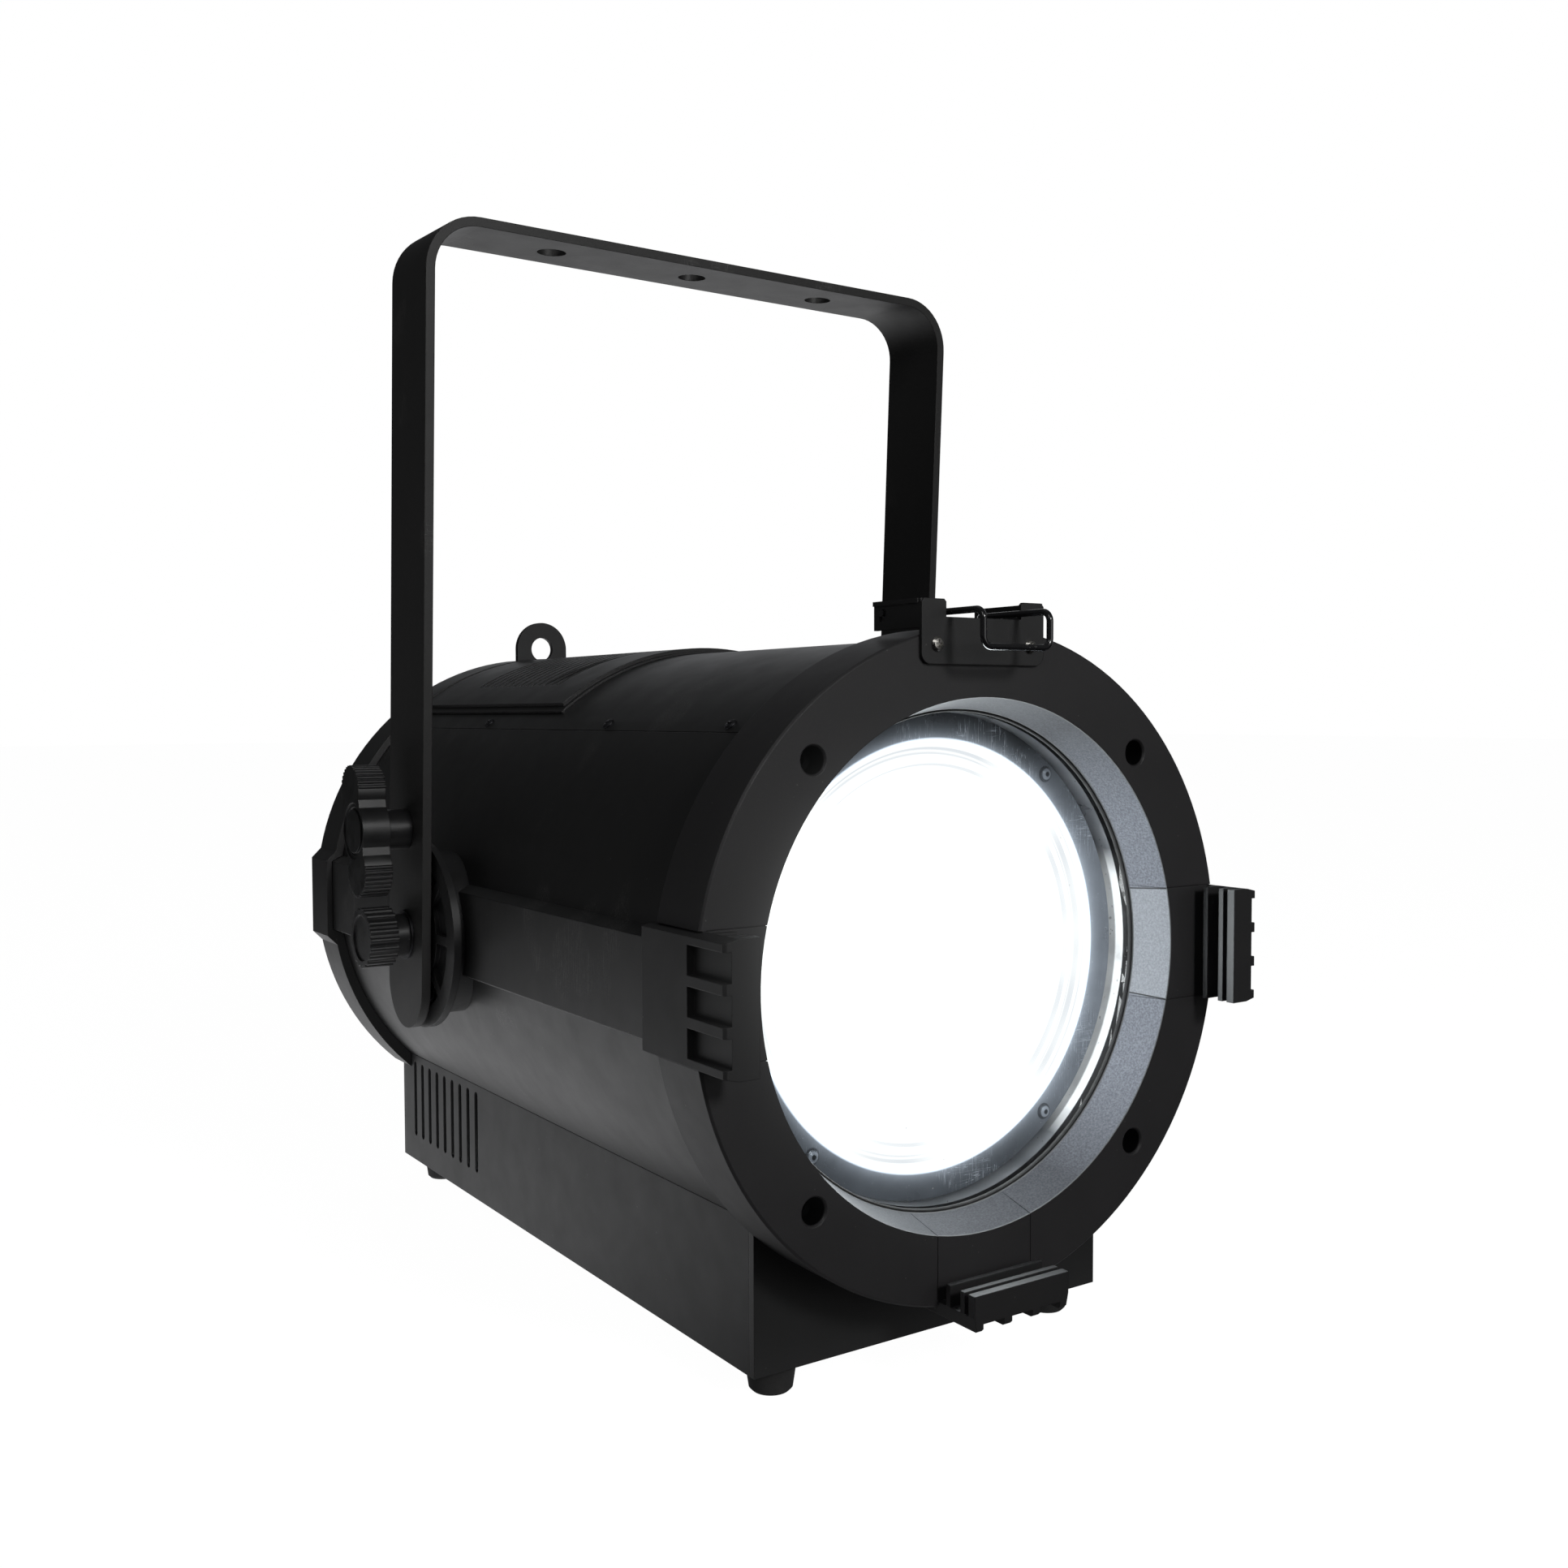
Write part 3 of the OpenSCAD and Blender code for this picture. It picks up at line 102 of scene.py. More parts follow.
class Graph:
    """The node tree of a material or a world, with a short call for each kind of node.

    A colour is a tuple of three. Noise scales count features per metre.
    """

    def __init__(self, owner, coordinates="Object"):
        owner.use_nodes = True
        self.owner = owner
        self.tree = owner.node_tree
        self.tree.nodes.clear()
        self.place = self.add("TexCoord").outputs[coordinates]

    def add(self, kind, inputs=None, **props):
        node = self.tree.nodes.new("ShaderNode" + kind)
        for key, value in props.items():
            setattr(node, key, value)
        for key, value in (inputs or {}).items():
            socket = node.inputs[key]
            if isinstance(value, bpy.types.NodeSocket):
                self.tree.links.new(value, socket)
            elif socket.type == "RGBA":
                socket.default_value = (*value, 1.0)
            else:
                socket.default_value = value
        return node

    # numbers

    def math(self, operation, a, b=0.0):
        return self.add("Math", {0: a, 1: b}, operation=operation).outputs[0]

    def times(self, *values):
        return reduce(lambda a, b: self.math("MULTIPLY", a, b), values)

    def plus(self, *values):
        return reduce(lambda a, b: self.math("ADD", a, b), values)

    def minus(self, a, b):
        return self.math("SUBTRACT", a, b)

    def most(self, a, b):
        return self.math("MAXIMUM", a, b)

    def remap(self, value, low, high, to_low=0.0, to_high=1.0):
        """Maps low..high to to_low..to_high, and holds the ends; low may be the larger."""
        inputs = {
            "Value": value,
            "From Min": low,
            "From Max": high,
            "To Min": to_low,
            "To Max": to_high,
        }
        return self.add("MapRange", inputs).outputs[0]

    def wave(self, value, pitch):
        """A sine of the value, one period to a pitch."""
        return self.math("SINE", self.times(value, 2 * math.pi / pitch))

    # places

    def axis(self, name):
        return self.add("SeparateXYZ", {0: self.place}).outputs[name]

    def vector(self, operation, a, b=None):
        inputs = {0: a} if b is None else {0: a, 1: b}
        return self.add("VectorMath", inputs, operation=operation)

    def away(self, name, middle):
        """Distance from the plane at middle, on either side."""
        return self.math("ABSOLUTE", self.minus(self.axis(name), middle))

    def radius(self):
        """Distance from the optical axis."""
        offset = self.vector("SUBTRACT", self.place, tuple(AXIS)).outputs[0]
        flat = self.vector("MULTIPLY", offset, (1.0, 0.0, 1.0)).outputs[0]
        return self.vector("LENGTH", flat).outputs["Value"]

    def bearing(self, name):
        """Seen from the axis, 1 straight along X or Z and -1 straight against it."""
        middle = AXIS.x if name == "X" else AXIS.z
        return self.math("DIVIDE", self.minus(self.axis(name), middle), self.radius())

    def from_screw(self, across, up):
        """Distance from the nearest of four screws, mirrored left and right, up and down."""
        x = self.minus(self.away("X", AXIS.x), across)
        z = self.minus(self.away("Z", AXIS.z), up)
        squares = self.plus(self.math("POWER", x, 2.0), self.math("POWER", z, 2.0))
        return self.math("SQRT", squares)

    def edges(self, radius):
        """(1 on sharp edges and 0 on flat faces, the softened normal)."""
        soft = self.add("Bevel", {"Radius": radius}, samples=4).outputs[0]
        flat = self.add("NewGeometry").outputs["Normal"]
        same = self.vector("DOT_PRODUCT", soft, flat).outputs["Value"]
        return self.remap(same, 0.985, 0.86), soft

    # patterns

    def stretch(self, scale):
        """The coordinates, scaled by a different amount along each axis."""
        return self.vector("MULTIPLY", self.place, scale).outputs[0]

    def noise(self, scale, detail=3.0, rough=0.5, at=None):
        """Smooth noise round 0.5; detail and rough add finer layers to it."""
        inputs = {
            "Vector": at or self.place,
            "Scale": scale,
            "Detail": detail,
            "Roughness": rough,
        }
        return self.add("TexNoise", inputs).outputs[0]

    def cells(self, scale, feature="F1"):
        inputs = {"Vector": self.place, "Scale": scale}
        return self.add("TexVoronoi", inputs, feature=feature).outputs["Distance"]

    def specks(self, scale, amount):
        """Small scattered dots, covering about the given share of the surface."""
        dots = self.remap(self.cells(scale), 0.08, 0.16, 1.0, 0.0)
        some = self.noise(scale * 0.37, 1.0)
        return self.times(dots, self.remap(some, 0.72 - amount, 0.76 - amount))

    def streaks(self, scale, along, ratio, detail):
        """Noise drawn out along one axis by the ratio, or even if along is None."""
        factors = [scale] * 3
        if along is not None:
            factors[along] = scale / ratio
        return self.noise(1.0, detail, 0.6, at=self.stretch(tuple(factors)))

    def scratches(self, scale, along, amount):
        """Thin straight marks that run along one axis."""
        line = self.streaks(scale, along, 28.0, 2.0)
        where = self.noise(21.0, 2.0)
        thin = self.remap(self.math("ABSOLUTE", self.minus(line, 0.5)), 0.0, 0.012, 1.0, 0.0)
        return self.times(thin, self.remap(where, 0.66 - amount, 0.7 - amount))

    # colours and shaders

    def mix(self, factor, a, b):
        return self.add("Mix", {0: factor, 6: a, 7: b}, data_type="RGBA").outputs[2]

    def over(self, colour, top, mask, amount):
        """The colour, with another laid over it to the given share where the mask is 1."""
        return self.mix(self.times(mask, amount), colour, top)

    def mottle(self, cloud, dark, light):
        """Goes from dark to light with a cloudy noise."""
        return self.mix(self.remap(cloud, 0.3, 0.7), dark, light)

    def bump(self, height, strength, distance, normal=None):
        """The normal, tilted by a height pattern of the given depth."""
        inputs = {"Height": height, "Strength": strength, "Distance": distance}
        if normal:
            inputs["Normal"] = normal
        return self.add("Bump", inputs).outputs[0]

    def to_camera(self):
        """1 where the camera looks at the surface, 0 for the light it sheds."""
        return self.add("LightPath").outputs["Is Camera Ray"]

    def emission(self, colour, strength):
        return self.add("Emission", {"Color": colour, "Strength": strength}).outputs[0]

    def blend(self, factor, a, b):
        return self.add("MixShader", {0: factor, 1: a, 2: b}).outputs[0]

    def principled(self, **inputs):
        """Finishes the material with a principled shader; Base_Color is its "Base Color"."""
        names = {key.replace("_", " "): value for key, value in inputs.items()}
        return self.finish(self.add("BsdfPrincipled", names).outputs[0])

    def finish(self, shader, output="OutputMaterial"):
        """Wires the shader to the output and hands back the material or world."""
        self.tree.links.new(shader, self.add(output).inputs["Surface"])
        return self.owner


def new_graph(name):
    """The empty node graph of a new material."""
    return Graph(bpy.data.materials.new(name))


# ---------- painted and moulded finishes ----------


def painted_wall_light(g, colour, peel):
    """The front ring's inner wall, with the lens's light painted on it, and painted shade where
    it turns away and in the screw recesses: (colour, how much it mirrors).
    """
    radius = g.radius()
    depth = g.minus(g.axis("Y"), FACE_Y)
    wall = g.times(
        g.remap(radius, WALL_R, WALL_R - 0.2 * MM),
        g.remap(depth, 0.3 * MM, 0.6 * MM),
        g.remap(depth, WALL_END - 0.3 * MM, WALL_END, 1.0, 0.0),
    )
    side = g.bearing("X")
    grain = g.remap(peel, 0.35, 0.7)
    insert = g.remap(side, INSERT_SIDE - 0.002, INSERT_SIDE)
    # Painted light from the lens, stronger on the inserts
    bright = g.mix(insert, g.mix(grain, *WALL_PAINTED_LIGHT), g.mix(grain, *INSERT_PAINTED_LIGHT))
    # Painted shade where the wall turns away from the light
    shade_turned_away = g.remap(side, 0.45, 0.87, 0.70, 0.0)
    bright = g.mix(shade_turned_away, bright, (0.0, 0.0, 0.0))
    from_seam = g.math("ABSOLUTE", g.minus(side, INSERT_SIDE))
    bright = g.mix(g.remap(from_seam, 0.0009, 0.0004), bright, SEAM)
    colour = g.mix(wall, colour, bright)
    # Painted shade in the recess round each screw
    from_screw = g.from_screw(RING_SCREW, RING_SCREW)
    recess_shade = g.times(
        g.remap(from_screw, RECESS_R + 0.1 * MM, RECESS_R),
        g.remap(depth, 0.9 * MM, 1.6 * MM),
    )
    colour = g.mix(recess_shade, colour, RECESS_SHADE)
    return colour, g.minus(SHEEN, g.times(g.most(recess_shade, wall), 0.44))


def coat(name, tint, rough, grain=0.5, sparkle=0.35, scuffs=0.0, wall=False):
    """Powder coat: fine orange peel, cloudy sheen, worn edges and a little dust."""
    g = new_graph(name)
    edge, soft = g.edges(0.5 * MM)
    peel = g.noise(1300.0, 2.0)
    fine = g.noise(3800.0, 1.0)
    wipe = g.noise(60.0, 3.0, 0.6)
    worn = g.times(edge, g.remap(g.noise(95.0, 4.0), 0.42, 0.62))
    colour = g.mottle(g.noise(11.0, 4.0, 0.6), scaled(tint, 0.86), scaled(tint, 1.14))
    colour = g.mix(g.remap(fine, 0.62, 0.78, 0.0, sparkle), colour, scaled(tint, 3.2))
    colour = g.over(colour, WORN_PAINT, worn, 0.2)
    colour = g.over(colour, DUST, g.specks(420.0, 0.05), 0.5)
    if scuffs:
        marks = g.most(g.scratches(900.0, 0, scuffs), g.scratches(800.0, 2, scuffs))
        colour = g.over(colour, SCRATCH, marks, 0.6)
    sheen = SHEEN
    # On the front ring's inner wall: painted light from the lens and painted shade
    if wall:
        colour, sheen = painted_wall_light(g, colour, peel)
    gloss = g.remap(wipe, 0.25, 0.75, rough - 0.03, rough + 0.04)
    return g.principled(
        Base_Color=colour,
        Roughness=g.minus(gloss, g.times(worn, 0.08)),
        Specular_IOR_Level=sheen,
        Normal=g.bump(g.plus(peel, g.times(fine, 0.4)), 0.22 * grain, 0.12 * MM, soft),
    )


def plastic(name, tint, rough, grain=0.4):
    """Moulded plastic: faint mould texture, softened edges that catch the light, with a painted
    highlight along them.
    """
    g = new_graph(name)
    edge, soft = g.edges(0.4 * MM)
    colour = g.mottle(g.noise(35.0), scaled(tint, 0.8), scaled(tint, 1.25))
    # Painted highlight along the edges
    colour = g.over(colour, scaled(tint, 3.0), edge, 0.35)
    colour = g.over(colour, PALE_DUST, g.specks(500.0, 0.06), 0.5)
    return g.principled(
        Base_Color=colour,
        Roughness=g.remap(g.noise(160.0), 0.3, 0.7, rough - 0.06, rough + 0.08),
        Normal=g.bump(g.noise(900.0, 3.0, 0.6), 0.16 * grain, 0.08 * MM, soft),
    )


def rubber(name, tint):
    """Soft black rubber, dusty in patches and rubbed grey along its edges."""
    g = new_graph(name)
    edge, soft = g.edges(0.4 * MM)
    dusty = g.remap(g.noise(70.0, 4.0), 0.45, 0.75)
    colour = g.over(tint, (0.06, 0.058, 0.055), dusty, 0.35)
    colour = g.over(colour, (0.07, 0.068, 0.066), edge, 0.3)
    return g.principled(
        Base_Color=colour,
        Roughness=0.78,
        Specular_IOR_Level=0.35,
        Normal=g.bump(g.noise(1600.0, 4.0, 0.7), 0.3, 0.1 * MM, soft),
    )


def black_wire(name):
    """Glossy black paint over bent wire, with a few chips."""
    g = new_graph(name)
    chips = g.remap(g.noise(420.0), 0.66, 0.7)
    return g.principled(
        Base_Color=g.mix(chips, (0.012, 0.012, 0.013), (0.09, 0.088, 0.085)),
        Roughness=g.remap(chips, 0.0, 1.0, 0.16, 0.4),
        Coat_Weight=0.5,
        Coat_Roughness=0.08,
        Normal=g.bump(g.noise(260.0, 2.0), 0.06, 0.2 * MM),
    )


def sockets(name):
    """Panel sockets: blue mains side and black data side, with worn flange edges."""
    g = new_graph(name)
    edge, soft = g.edges(0.3 * MM)
    flange = g.remap(g.minus(g.axis("Y"), REAR_Y), 0.0, 0.1 * MM)
    data_side = g.remap(g.axis("X"), -0.1 * MM, 0.1 * MM)
    colour = g.mix(data_side, (0.012, 0.03, 0.10), (0.02, 0.02, 0.022))
    return g.principled(
        Base_Color=g.mix(g.times(flange, edge), colour, (0.12, 0.12, 0.13)),
        Roughness=g.remap(g.noise(240.0), 0.3, 0.7, 0.3, 0.45),
        Normal=g.bump(g.noise(900.0), 0.08, 0.08 * MM, soft),
    )


def cable_sheath(name):
    """Flat loom: side by side strands, most of them black and some red."""
    g = new_graph(name)
    red = g.remap(g.noise(420.0, 0.0, at=g.stretch((1.0, 0.0, 0.0))), 0.6, 0.62)
    return g.principled(
        Base_Color=g.mix(red, (0.02, 0.02, 0.021), (0.28, 0.02, 0.015)),
        Roughness=g.remap(g.noise(300.0), 0.3, 0.7, 0.4, 0.55),
        Normal=g.bump(g.wave(g.axis("X"), 2.0 * MM), 0.4, 0.5 * MM),
    )


# ---------- metals ----------


def metal(name, tint, rough, along=None, marks=0.5):
    """Bare or plated metal with turning or drawing lines and a mottled sheen."""
    g = new_graph(name)
    edge, soft = g.edges(0.25 * MM)
    lines = g.streaks(1800.0, along, 30.0, 3.0)
    cloud = g.noise(130.0, 4.0, 0.6)
    colour = g.mottle(cloud, scaled(tint, 0.78), tint)
    gloss = g.remap(cloud, 0.3, 0.7, rough - 0.05, rough + 0.1)
    return g.principled(
        Base_Color=g.over(colour, scaled(tint, 1.3), edge, 0.4),
        Metallic=1.0,
        Roughness=g.plus(gloss, g.times(lines, 0.08)),
        Normal=g.bump(lines, 0.12 * marks, 0.06 * MM, soft),
    )


def spangled_sheet(name):
    """Galvanised sheet: flat crystal patches of slightly different grey."""
    g = new_graph(name)
    edge, soft = g.edges(0.3 * MM)
    patches = g.add("TexVoronoi", {"Vector": g.place, "Scale": 130.0}).outputs["Color"]
    shade = g.add("SeparateXYZ", {0: patches}).outputs["X"]
    colour = g.mix(shade, (0.42, 0.43, 0.44), (0.68, 0.69, 0.70))
    return g.principled(
        Base_Color=g.over(colour, (0.8, 0.8, 0.8), edge, 0.5),
        Metallic=0.9,
        Roughness=g.remap(shade, 0.0, 1.0, 0.3, 0.5),
        Normal=g.bump(g.noise(500.0), 0.06, 0.1 * MM, soft),
    )


# ---------- glass, lens and the rings round them ----------


def clear_glass(name):
    """Thin clear pane: light passes, the surface reflects and carries a little dust."""
    g = new_graph(name)
    outside = g.minus(1.0, g.add("NewGeometry").outputs["Backfacing"])
    clear = g.add("BsdfTransparent", {"Color": (0.97, 0.985, 0.98)}).outputs[0]
    shine = g.add("BsdfGlossy", {"Color": WHITE, "Roughness": 0.03}).outputs[0]
    dust = g.add("BsdfDiffuse", {"Color": (0.55, 0.56, 0.58)}).outputs[0]
    fresnel = g.add("Fresnel", {"IOR": 1.45}).outputs[0]
    pane = g.blend(g.times(fresnel, outside), clear, shine)
    return g.finish(g.blend(g.times(g.specks(330.0, 0.10), 0.35, outside), pane, dust))


def lit_lens(name):
    """Stepped lens with the lamp on: white to the camera, with faint ring steps."""
    g = new_graph(name)
    radius = g.radius()
    steps = g.wave(radius, 2.1 * MM)
    wide_steps = g.wave(radius, 6.0 * MM)
    rings = g.remap(g.plus(g.times(steps, 0.5), g.times(wide_steps, 0.5)), -0.2, 0.7)
    outer = g.remap(radius, LENS_R * 0.5, LENS_R * 0.96)
    patchy = g.remap(g.noise(16.0, 2.0), 0.40, 0.58)
    white = g.mix(outer, grey(LENS_WHITE), grey(LENS_RIM))
    seen = g.mix(g.times(outer, patchy, rings), white, (0.80, 0.82, 0.87))
    lamp = g.emission((0.93, 0.965, 1.0), LENS_POWER)
    return g.finish(g.blend(g.to_camera(), lamp, g.emission(seen, 1.0)))


def trim_ring(name):
    """Polished ring round the lens, with dust and scratches; the lamp's glow in it is a painted
    reflection that only the camera sees.
    """
    g = new_graph(name)
    radius = g.radius()
    cloud = g.noise(40.0, 4.0, 0.65)
    wiped = g.most(g.scratches(1100.0, 2, 0.10), g.scratches(700.0, 0, 0.05))
    marks = g.most(g.specks(900.0, 0.10), wiped)
    outward = g.math("DIVIDE", g.minus(radius, LIP_R), GLOW_FALL)
    # Painted reflection of the lens glow: it fades outwards from the lip, is brighter on the
    # right and low down, and puts painted glints on dust and scratches
    glow = g.plus(
        g.times(g.math("EXPONENT", g.times(outward, -1.0)), 0.36),
        g.remap(g.bearing("X"), 0.5, 1.0, 0.0, 0.19),
        g.remap(g.bearing("Z"), -0.05, -0.6, 0.0, 0.055),
    )
    glow = g.times(glow, g.remap(cloud, 0.25, 0.75, 0.75, 1.25))
    glow = g.plus(glow, g.times(marks, 0.22))
    # Each clamp screw, painted into the reflection: painted shade in the drive, a painted
    # highlight on the head and painted shade in the gap round it
    reach = g.from_screw(CLAMP_SCREW_X, CLAMP_SCREW_Z)
    drive = g.remap(reach, 0.8 * MM, 1.2 * MM, 0.1, 1.9)
    head = g.times(drive, g.remap(reach, 2.0 * MM, 2.5 * MM, 1.0, 0.15))
    glow = g.times(glow, g.most(head, g.remap(reach, 3.0 * MM, 3.5 * MM)))
    # Painted highlight along the lip's inner edge
    lip = g.remap(radius, LIP_R + 1.1 * MM, LIP_R + 0.2 * MM, 0.0, 1.3)
    return g.principled(
        Base_Color=g.over((0.034, 0.038, 0.046), (0.45, 0.45, 0.47), marks, 0.5),
        Metallic=0.7,
        Roughness=g.remap(cloud, 0.3, 0.7, 0.24, 0.34),
        Normal=g.bump(g.noise(900.0, 2.0), 0.02, 0.05 * MM),
        Emission_Color=(0.76, 0.85, 1.0),
        Emission_Strength=g.times(g.plus(glow, lip), g.to_camera()),
    )


def painted_lit_edge(name):
    """Ring between gasket and glass, with a painted highlight low on its right, where the lamp
    would catch it, that only the camera sees.
    """
    g = new_graph(name)
    depth = g.axis("Y")
    toward = g.plus(
        g.times(g.bearing("X"), math.cos(EDGE_AIM)),
        g.times(g.bearing("Z"), math.sin(EDGE_AIM)),
    )
    cloud = g.noise(70.0)
    nicks = g.remap(g.noise(260.0, 2.0), 0.66, 0.70)
    # Painted highlight, faded by depth, cloud and nicks
    glow = g.times(
        g.remap(toward, 0.78, 0.88),
        g.remap(depth, EDGE_DEEP, EDGE_DEEP + 0.8 * MM, 1.0, 0.25),
        g.remap(depth, EDGE_FRONT + 0.2 * MM, EDGE_FRONT + 0.5 * MM, 0.03, 1.0),
        g.remap(cloud, 0.3, 0.7, 0.8, 1.25),
        g.remap(nicks, 0.0, 1.0, 1.0, 0.35),
    )
    front = g.remap(depth, EDGE_FRONT + 0.5 * MM, EDGE_FRONT + 0.2 * MM)
    colour = g.mix(cloud, (0.05, 0.053, 0.06), (0.12, 0.123, 0.13))
    return g.principled(
        Base_Color=g.mix(front, colour, (0.008, 0.008, 0.009)),
        Metallic=g.remap(front, 0.0, 1.0, 0.6, 0.0),
        Roughness=g.remap(cloud, 0.3, 0.7, 0.26, 0.38),
        Normal=g.bump(g.noise(700.0, 2.0), 0.05, 0.05 * MM),
        Emission_Color=(0.96, 0.98, 1.0),
        Emission_Strength=g.times(glow, g.to_camera()),
    )


# ---------- electrics ----------


def circuit_board(name, axis, top, dark_parts, light_parts):
    """Solder mask with faint tracks; whatever stands above its top is mixed parts."""
    g = new_graph(name)
    edge, soft = g.edges(0.2 * MM)
    tracks = g.remap(g.cells(210.0, "DISTANCE_TO_EDGE"), 0.03, 0.05, 1.0, 0.0)
    colour = g.over(SOLDER_GREEN, scaled(SOLDER_GREEN, 2.2), tracks, 0.5)
    parts = g.mix(g.remap(g.noise(22.0, 0.0), 0.45, 0.55), dark_parts, light_parts)
    colour = g.mix(g.remap(g.axis(axis), top, top + 0.2 * MM), colour, parts)
    return g.principled(
        Base_Color=g.over(colour, (0.3, 0.28, 0.2), edge, 0.3),
        Roughness=0.38,
        Normal=g.bump(tracks, 0.2, 0.05 * MM, soft),
    )


def lamp_board(name):
    """White light engine board with a yellow phosphor disc in the middle."""
    g = new_graph(name)
    phosphor = g.remap(g.radius(), 15.2 * MM, 15.0 * MM)
    dots = g.remap(g.cells(420.0), 0.2, 0.35)
    chips = g.mix(dots, (0.85, 0.62, 0.12), (0.75, 0.5, 0.08))
    mask = g.mix(g.remap(g.noise(90.0), 0.4, 0.6), (0.68, 0.68, 0.66), (0.75, 0.75, 0.73))
    return g.principled(
        Base_Color=g.mix(phosphor, mask, chips),
        Roughness=0.35,
        Normal=g.bump(g.noise(700.0), 0.1, 0.05 * MM),
    )


def display(name):
    """Dark glossy window over a lit screen with a faint grid."""
    g = new_graph(name)
    lit = g.times(
        g.remap(g.away("X", SCREEN.x), 28.2 * MM, 27.8 * MM),
        g.remap(g.away("Z", SCREEN.z), 7.2 * MM, 6.8 * MM),
    )
    grid = g.noise(1.0, 0.0, at=g.stretch((1500.0, 1.0, 1500.0)))
    return g.principled(
        Base_Color=(0.01, 0.012, 0.016),
        Roughness=0.07,
        Emission_Color=(0.10, 0.42, 0.85),
        Emission_Strength=g.times(lit, g.remap(grid, 0.4, 0.6, 0.85, 1.0), 0.55),
        Normal=g.bump(g.noise(400.0, 2.0), 0.02, 0.05 * MM),
    )


# ---------- the material of every CAD node ----------


def pair(*names):
    """The left and the right one of each name."""
    return [f"{name}_{side}" for name in names for side in ("left", "right")]


body_coat = coat("body_coat", BLACK, 0.46, grain=0.35, sparkle=0.25)
scuffed_coat = coat("scuffed_coat", BLACK, 0.44, grain=0.35, sparkle=0.3, scuffs=0.03)
ring_coat = coat("ring_coat", RING_BLACK, 0.50, grain=0.35, sparkle=0.25, wall=True)
yoke_coat = coat("yoke_coat", WARM_BLACK, 0.52, grain=1.1, sparkle=0.6, scuffs=0.05)
sheet_coat = coat("sheet_coat", SHEET_BLACK, 0.52, grain=0.55)
bracket_coat = coat("bracket_coat", BRACKET_BLACK, 0.54, grain=0.3, sparkle=0.2)
inside_black = coat("inside_black", (0.014, 0.014, 0.0145), 0.6, sparkle=0.2)
knob_plastic = plastic("knob_plastic", (0.013, 0.013, 0.0135), 0.36)
disc_plastic = plastic("disc_plastic", (0.012, 0.012, 0.0125), 0.42, grain=0.7)
fan_plastic = plastic("fan_plastic", (0.02, 0.02, 0.021), 0.34)
button_rubber = plastic("button_rubber", (0.30, 0.31, 0.32), 0.55, grain=0.8)
foot_rubber = rubber("foot_rubber", (0.017, 0.017, 0.0175))
bright_steel = metal("bright_steel", (0.56, 0.565, 0.57), 0.3, along=1)
dark_steel = metal("dark_steel", (0.075, 0.075, 0.08), 0.36)
black_steel = metal("black_steel", (0.006, 0.006, 0.0065), 0.6)
nickel = metal("nickel", (0.63, 0.61, 0.57), 0.2)
bare_aluminium = metal("bare_aluminium", (0.72, 0.73, 0.74), 0.34, along=2)
mirror_metal = metal("mirror_metal", (0.92, 0.92, 0.93), 0.09, marks=0.2)
brass = metal("brass", (0.74, 0.52, 0.22), 0.28)
edge_metal = painted_lit_edge("painted_lit_edge")
wire_black = black_wire("wire_black")
glass = clear_glass("clear_glass")
lens = lit_lens("lit_lens")
trim = trim_ring("trim_ring")
spangled = spangled_sheet("spangled_sheet")
driver_board = circuit_board(
    "driver_board", "Z", DRIVER_BOARD_TOP, (0.02, 0.02, 0.022), (0.16, 0.13, 0.05)
)
control_board = circuit_board(
    "control_board", "Y", CONTROL_BOARD_FACE, (0.03, 0.03, 0.032), (0.03, 0.03, 0.032)
)

FINISH = {
    yoke_coat: ["yoke"],
    scuffed_coat: [*pair("side_shell"), "top_cover"],
    body_coat: ["vent_cover", "rear_cap", "front_plate"],
    ring_coat: ["bezel"],
    sheet_coat: ["base_box", "latch_housing", "safety_eye"],
    bracket_coat: [*pair("bracket"), "bracket_bottom"],
    inside_black: ["lens_carriage"],
    knob_plastic: [*pair("lock_knob", "pivot_knob"), "zoom_knob"],
    disc_plastic: pair("tilt_disc"),
    fan_plastic: ["fan_frame", "fan_rotor"],
    button_rubber: ["button_menu", "button_up", "button_down", "button_enter"],
    foot_rubber: ["feet", "glass_gasket"],
    bright_steel: [*pair("lock_stud"), "guide_rods", "lead_screw", "tie_rods"],
    black_steel: ["bezel_screws"],
    dark_steel: [
        "cover_screws",
        "case_screws",
        "tilt_disc_screws",
        "bracket_screws",
        *pair("pivot_bolt"),
    ],
    nickel: ["latch_screws"],
    edge_metal: ["glass_retainer"],
    bare_aluminium: ["heat_sink", "pivot_blocks"],
    mirror_metal: ["reflector"],
    brass: ["zoom_nut"],
    wire_black: ["latch_bail"],
    glass: ["front_glass"],
    lens: ["fresnel_lens"],
    trim: ["lens_clamp_ring"],
    spangled: ["power_supply", "mid_plate"],
    driver_board: ["led_driver"],
    control_board: ["control_board"],
    lamp_board("lamp_board"): ["led_board"],
    sockets("sockets"): ["rear_connectors"],
    display("display"): ["display_window"],
    cable_sheath("cable_sheath"): ["wiring"],
}

for material, names in FINISH.items():
    for name in names:
        slots = NODES[name].data.materials
        slots.clear()
        slots.append(material)

missing = sorted(set(NODES) - {name for names in FINISH.values() for name in names})
if missing:
    raise RuntimeError(f"no finish for {missing}")


# ---------- floor, light and camera ----------

BACKDROP = (0.56, 0.83, 0.0)  # from the object towards the bright end of the studio
FLOOR_HALF = 14.0  # metres from the middle of the floor to its sides
PATCH_MIDDLE = (-0.06, 0.12)  # centre of the patch of floor that throws light upwards
PATCH_FULL, PATCH_END = 0.40, 0.85  # radius to which it stays full, and where it has faded
PATCH_FRONT = (-0.26, 0.04)  # it also fades in over this stretch of Y, from front to back
BOUNCE = 0.9  # how brightly it glows

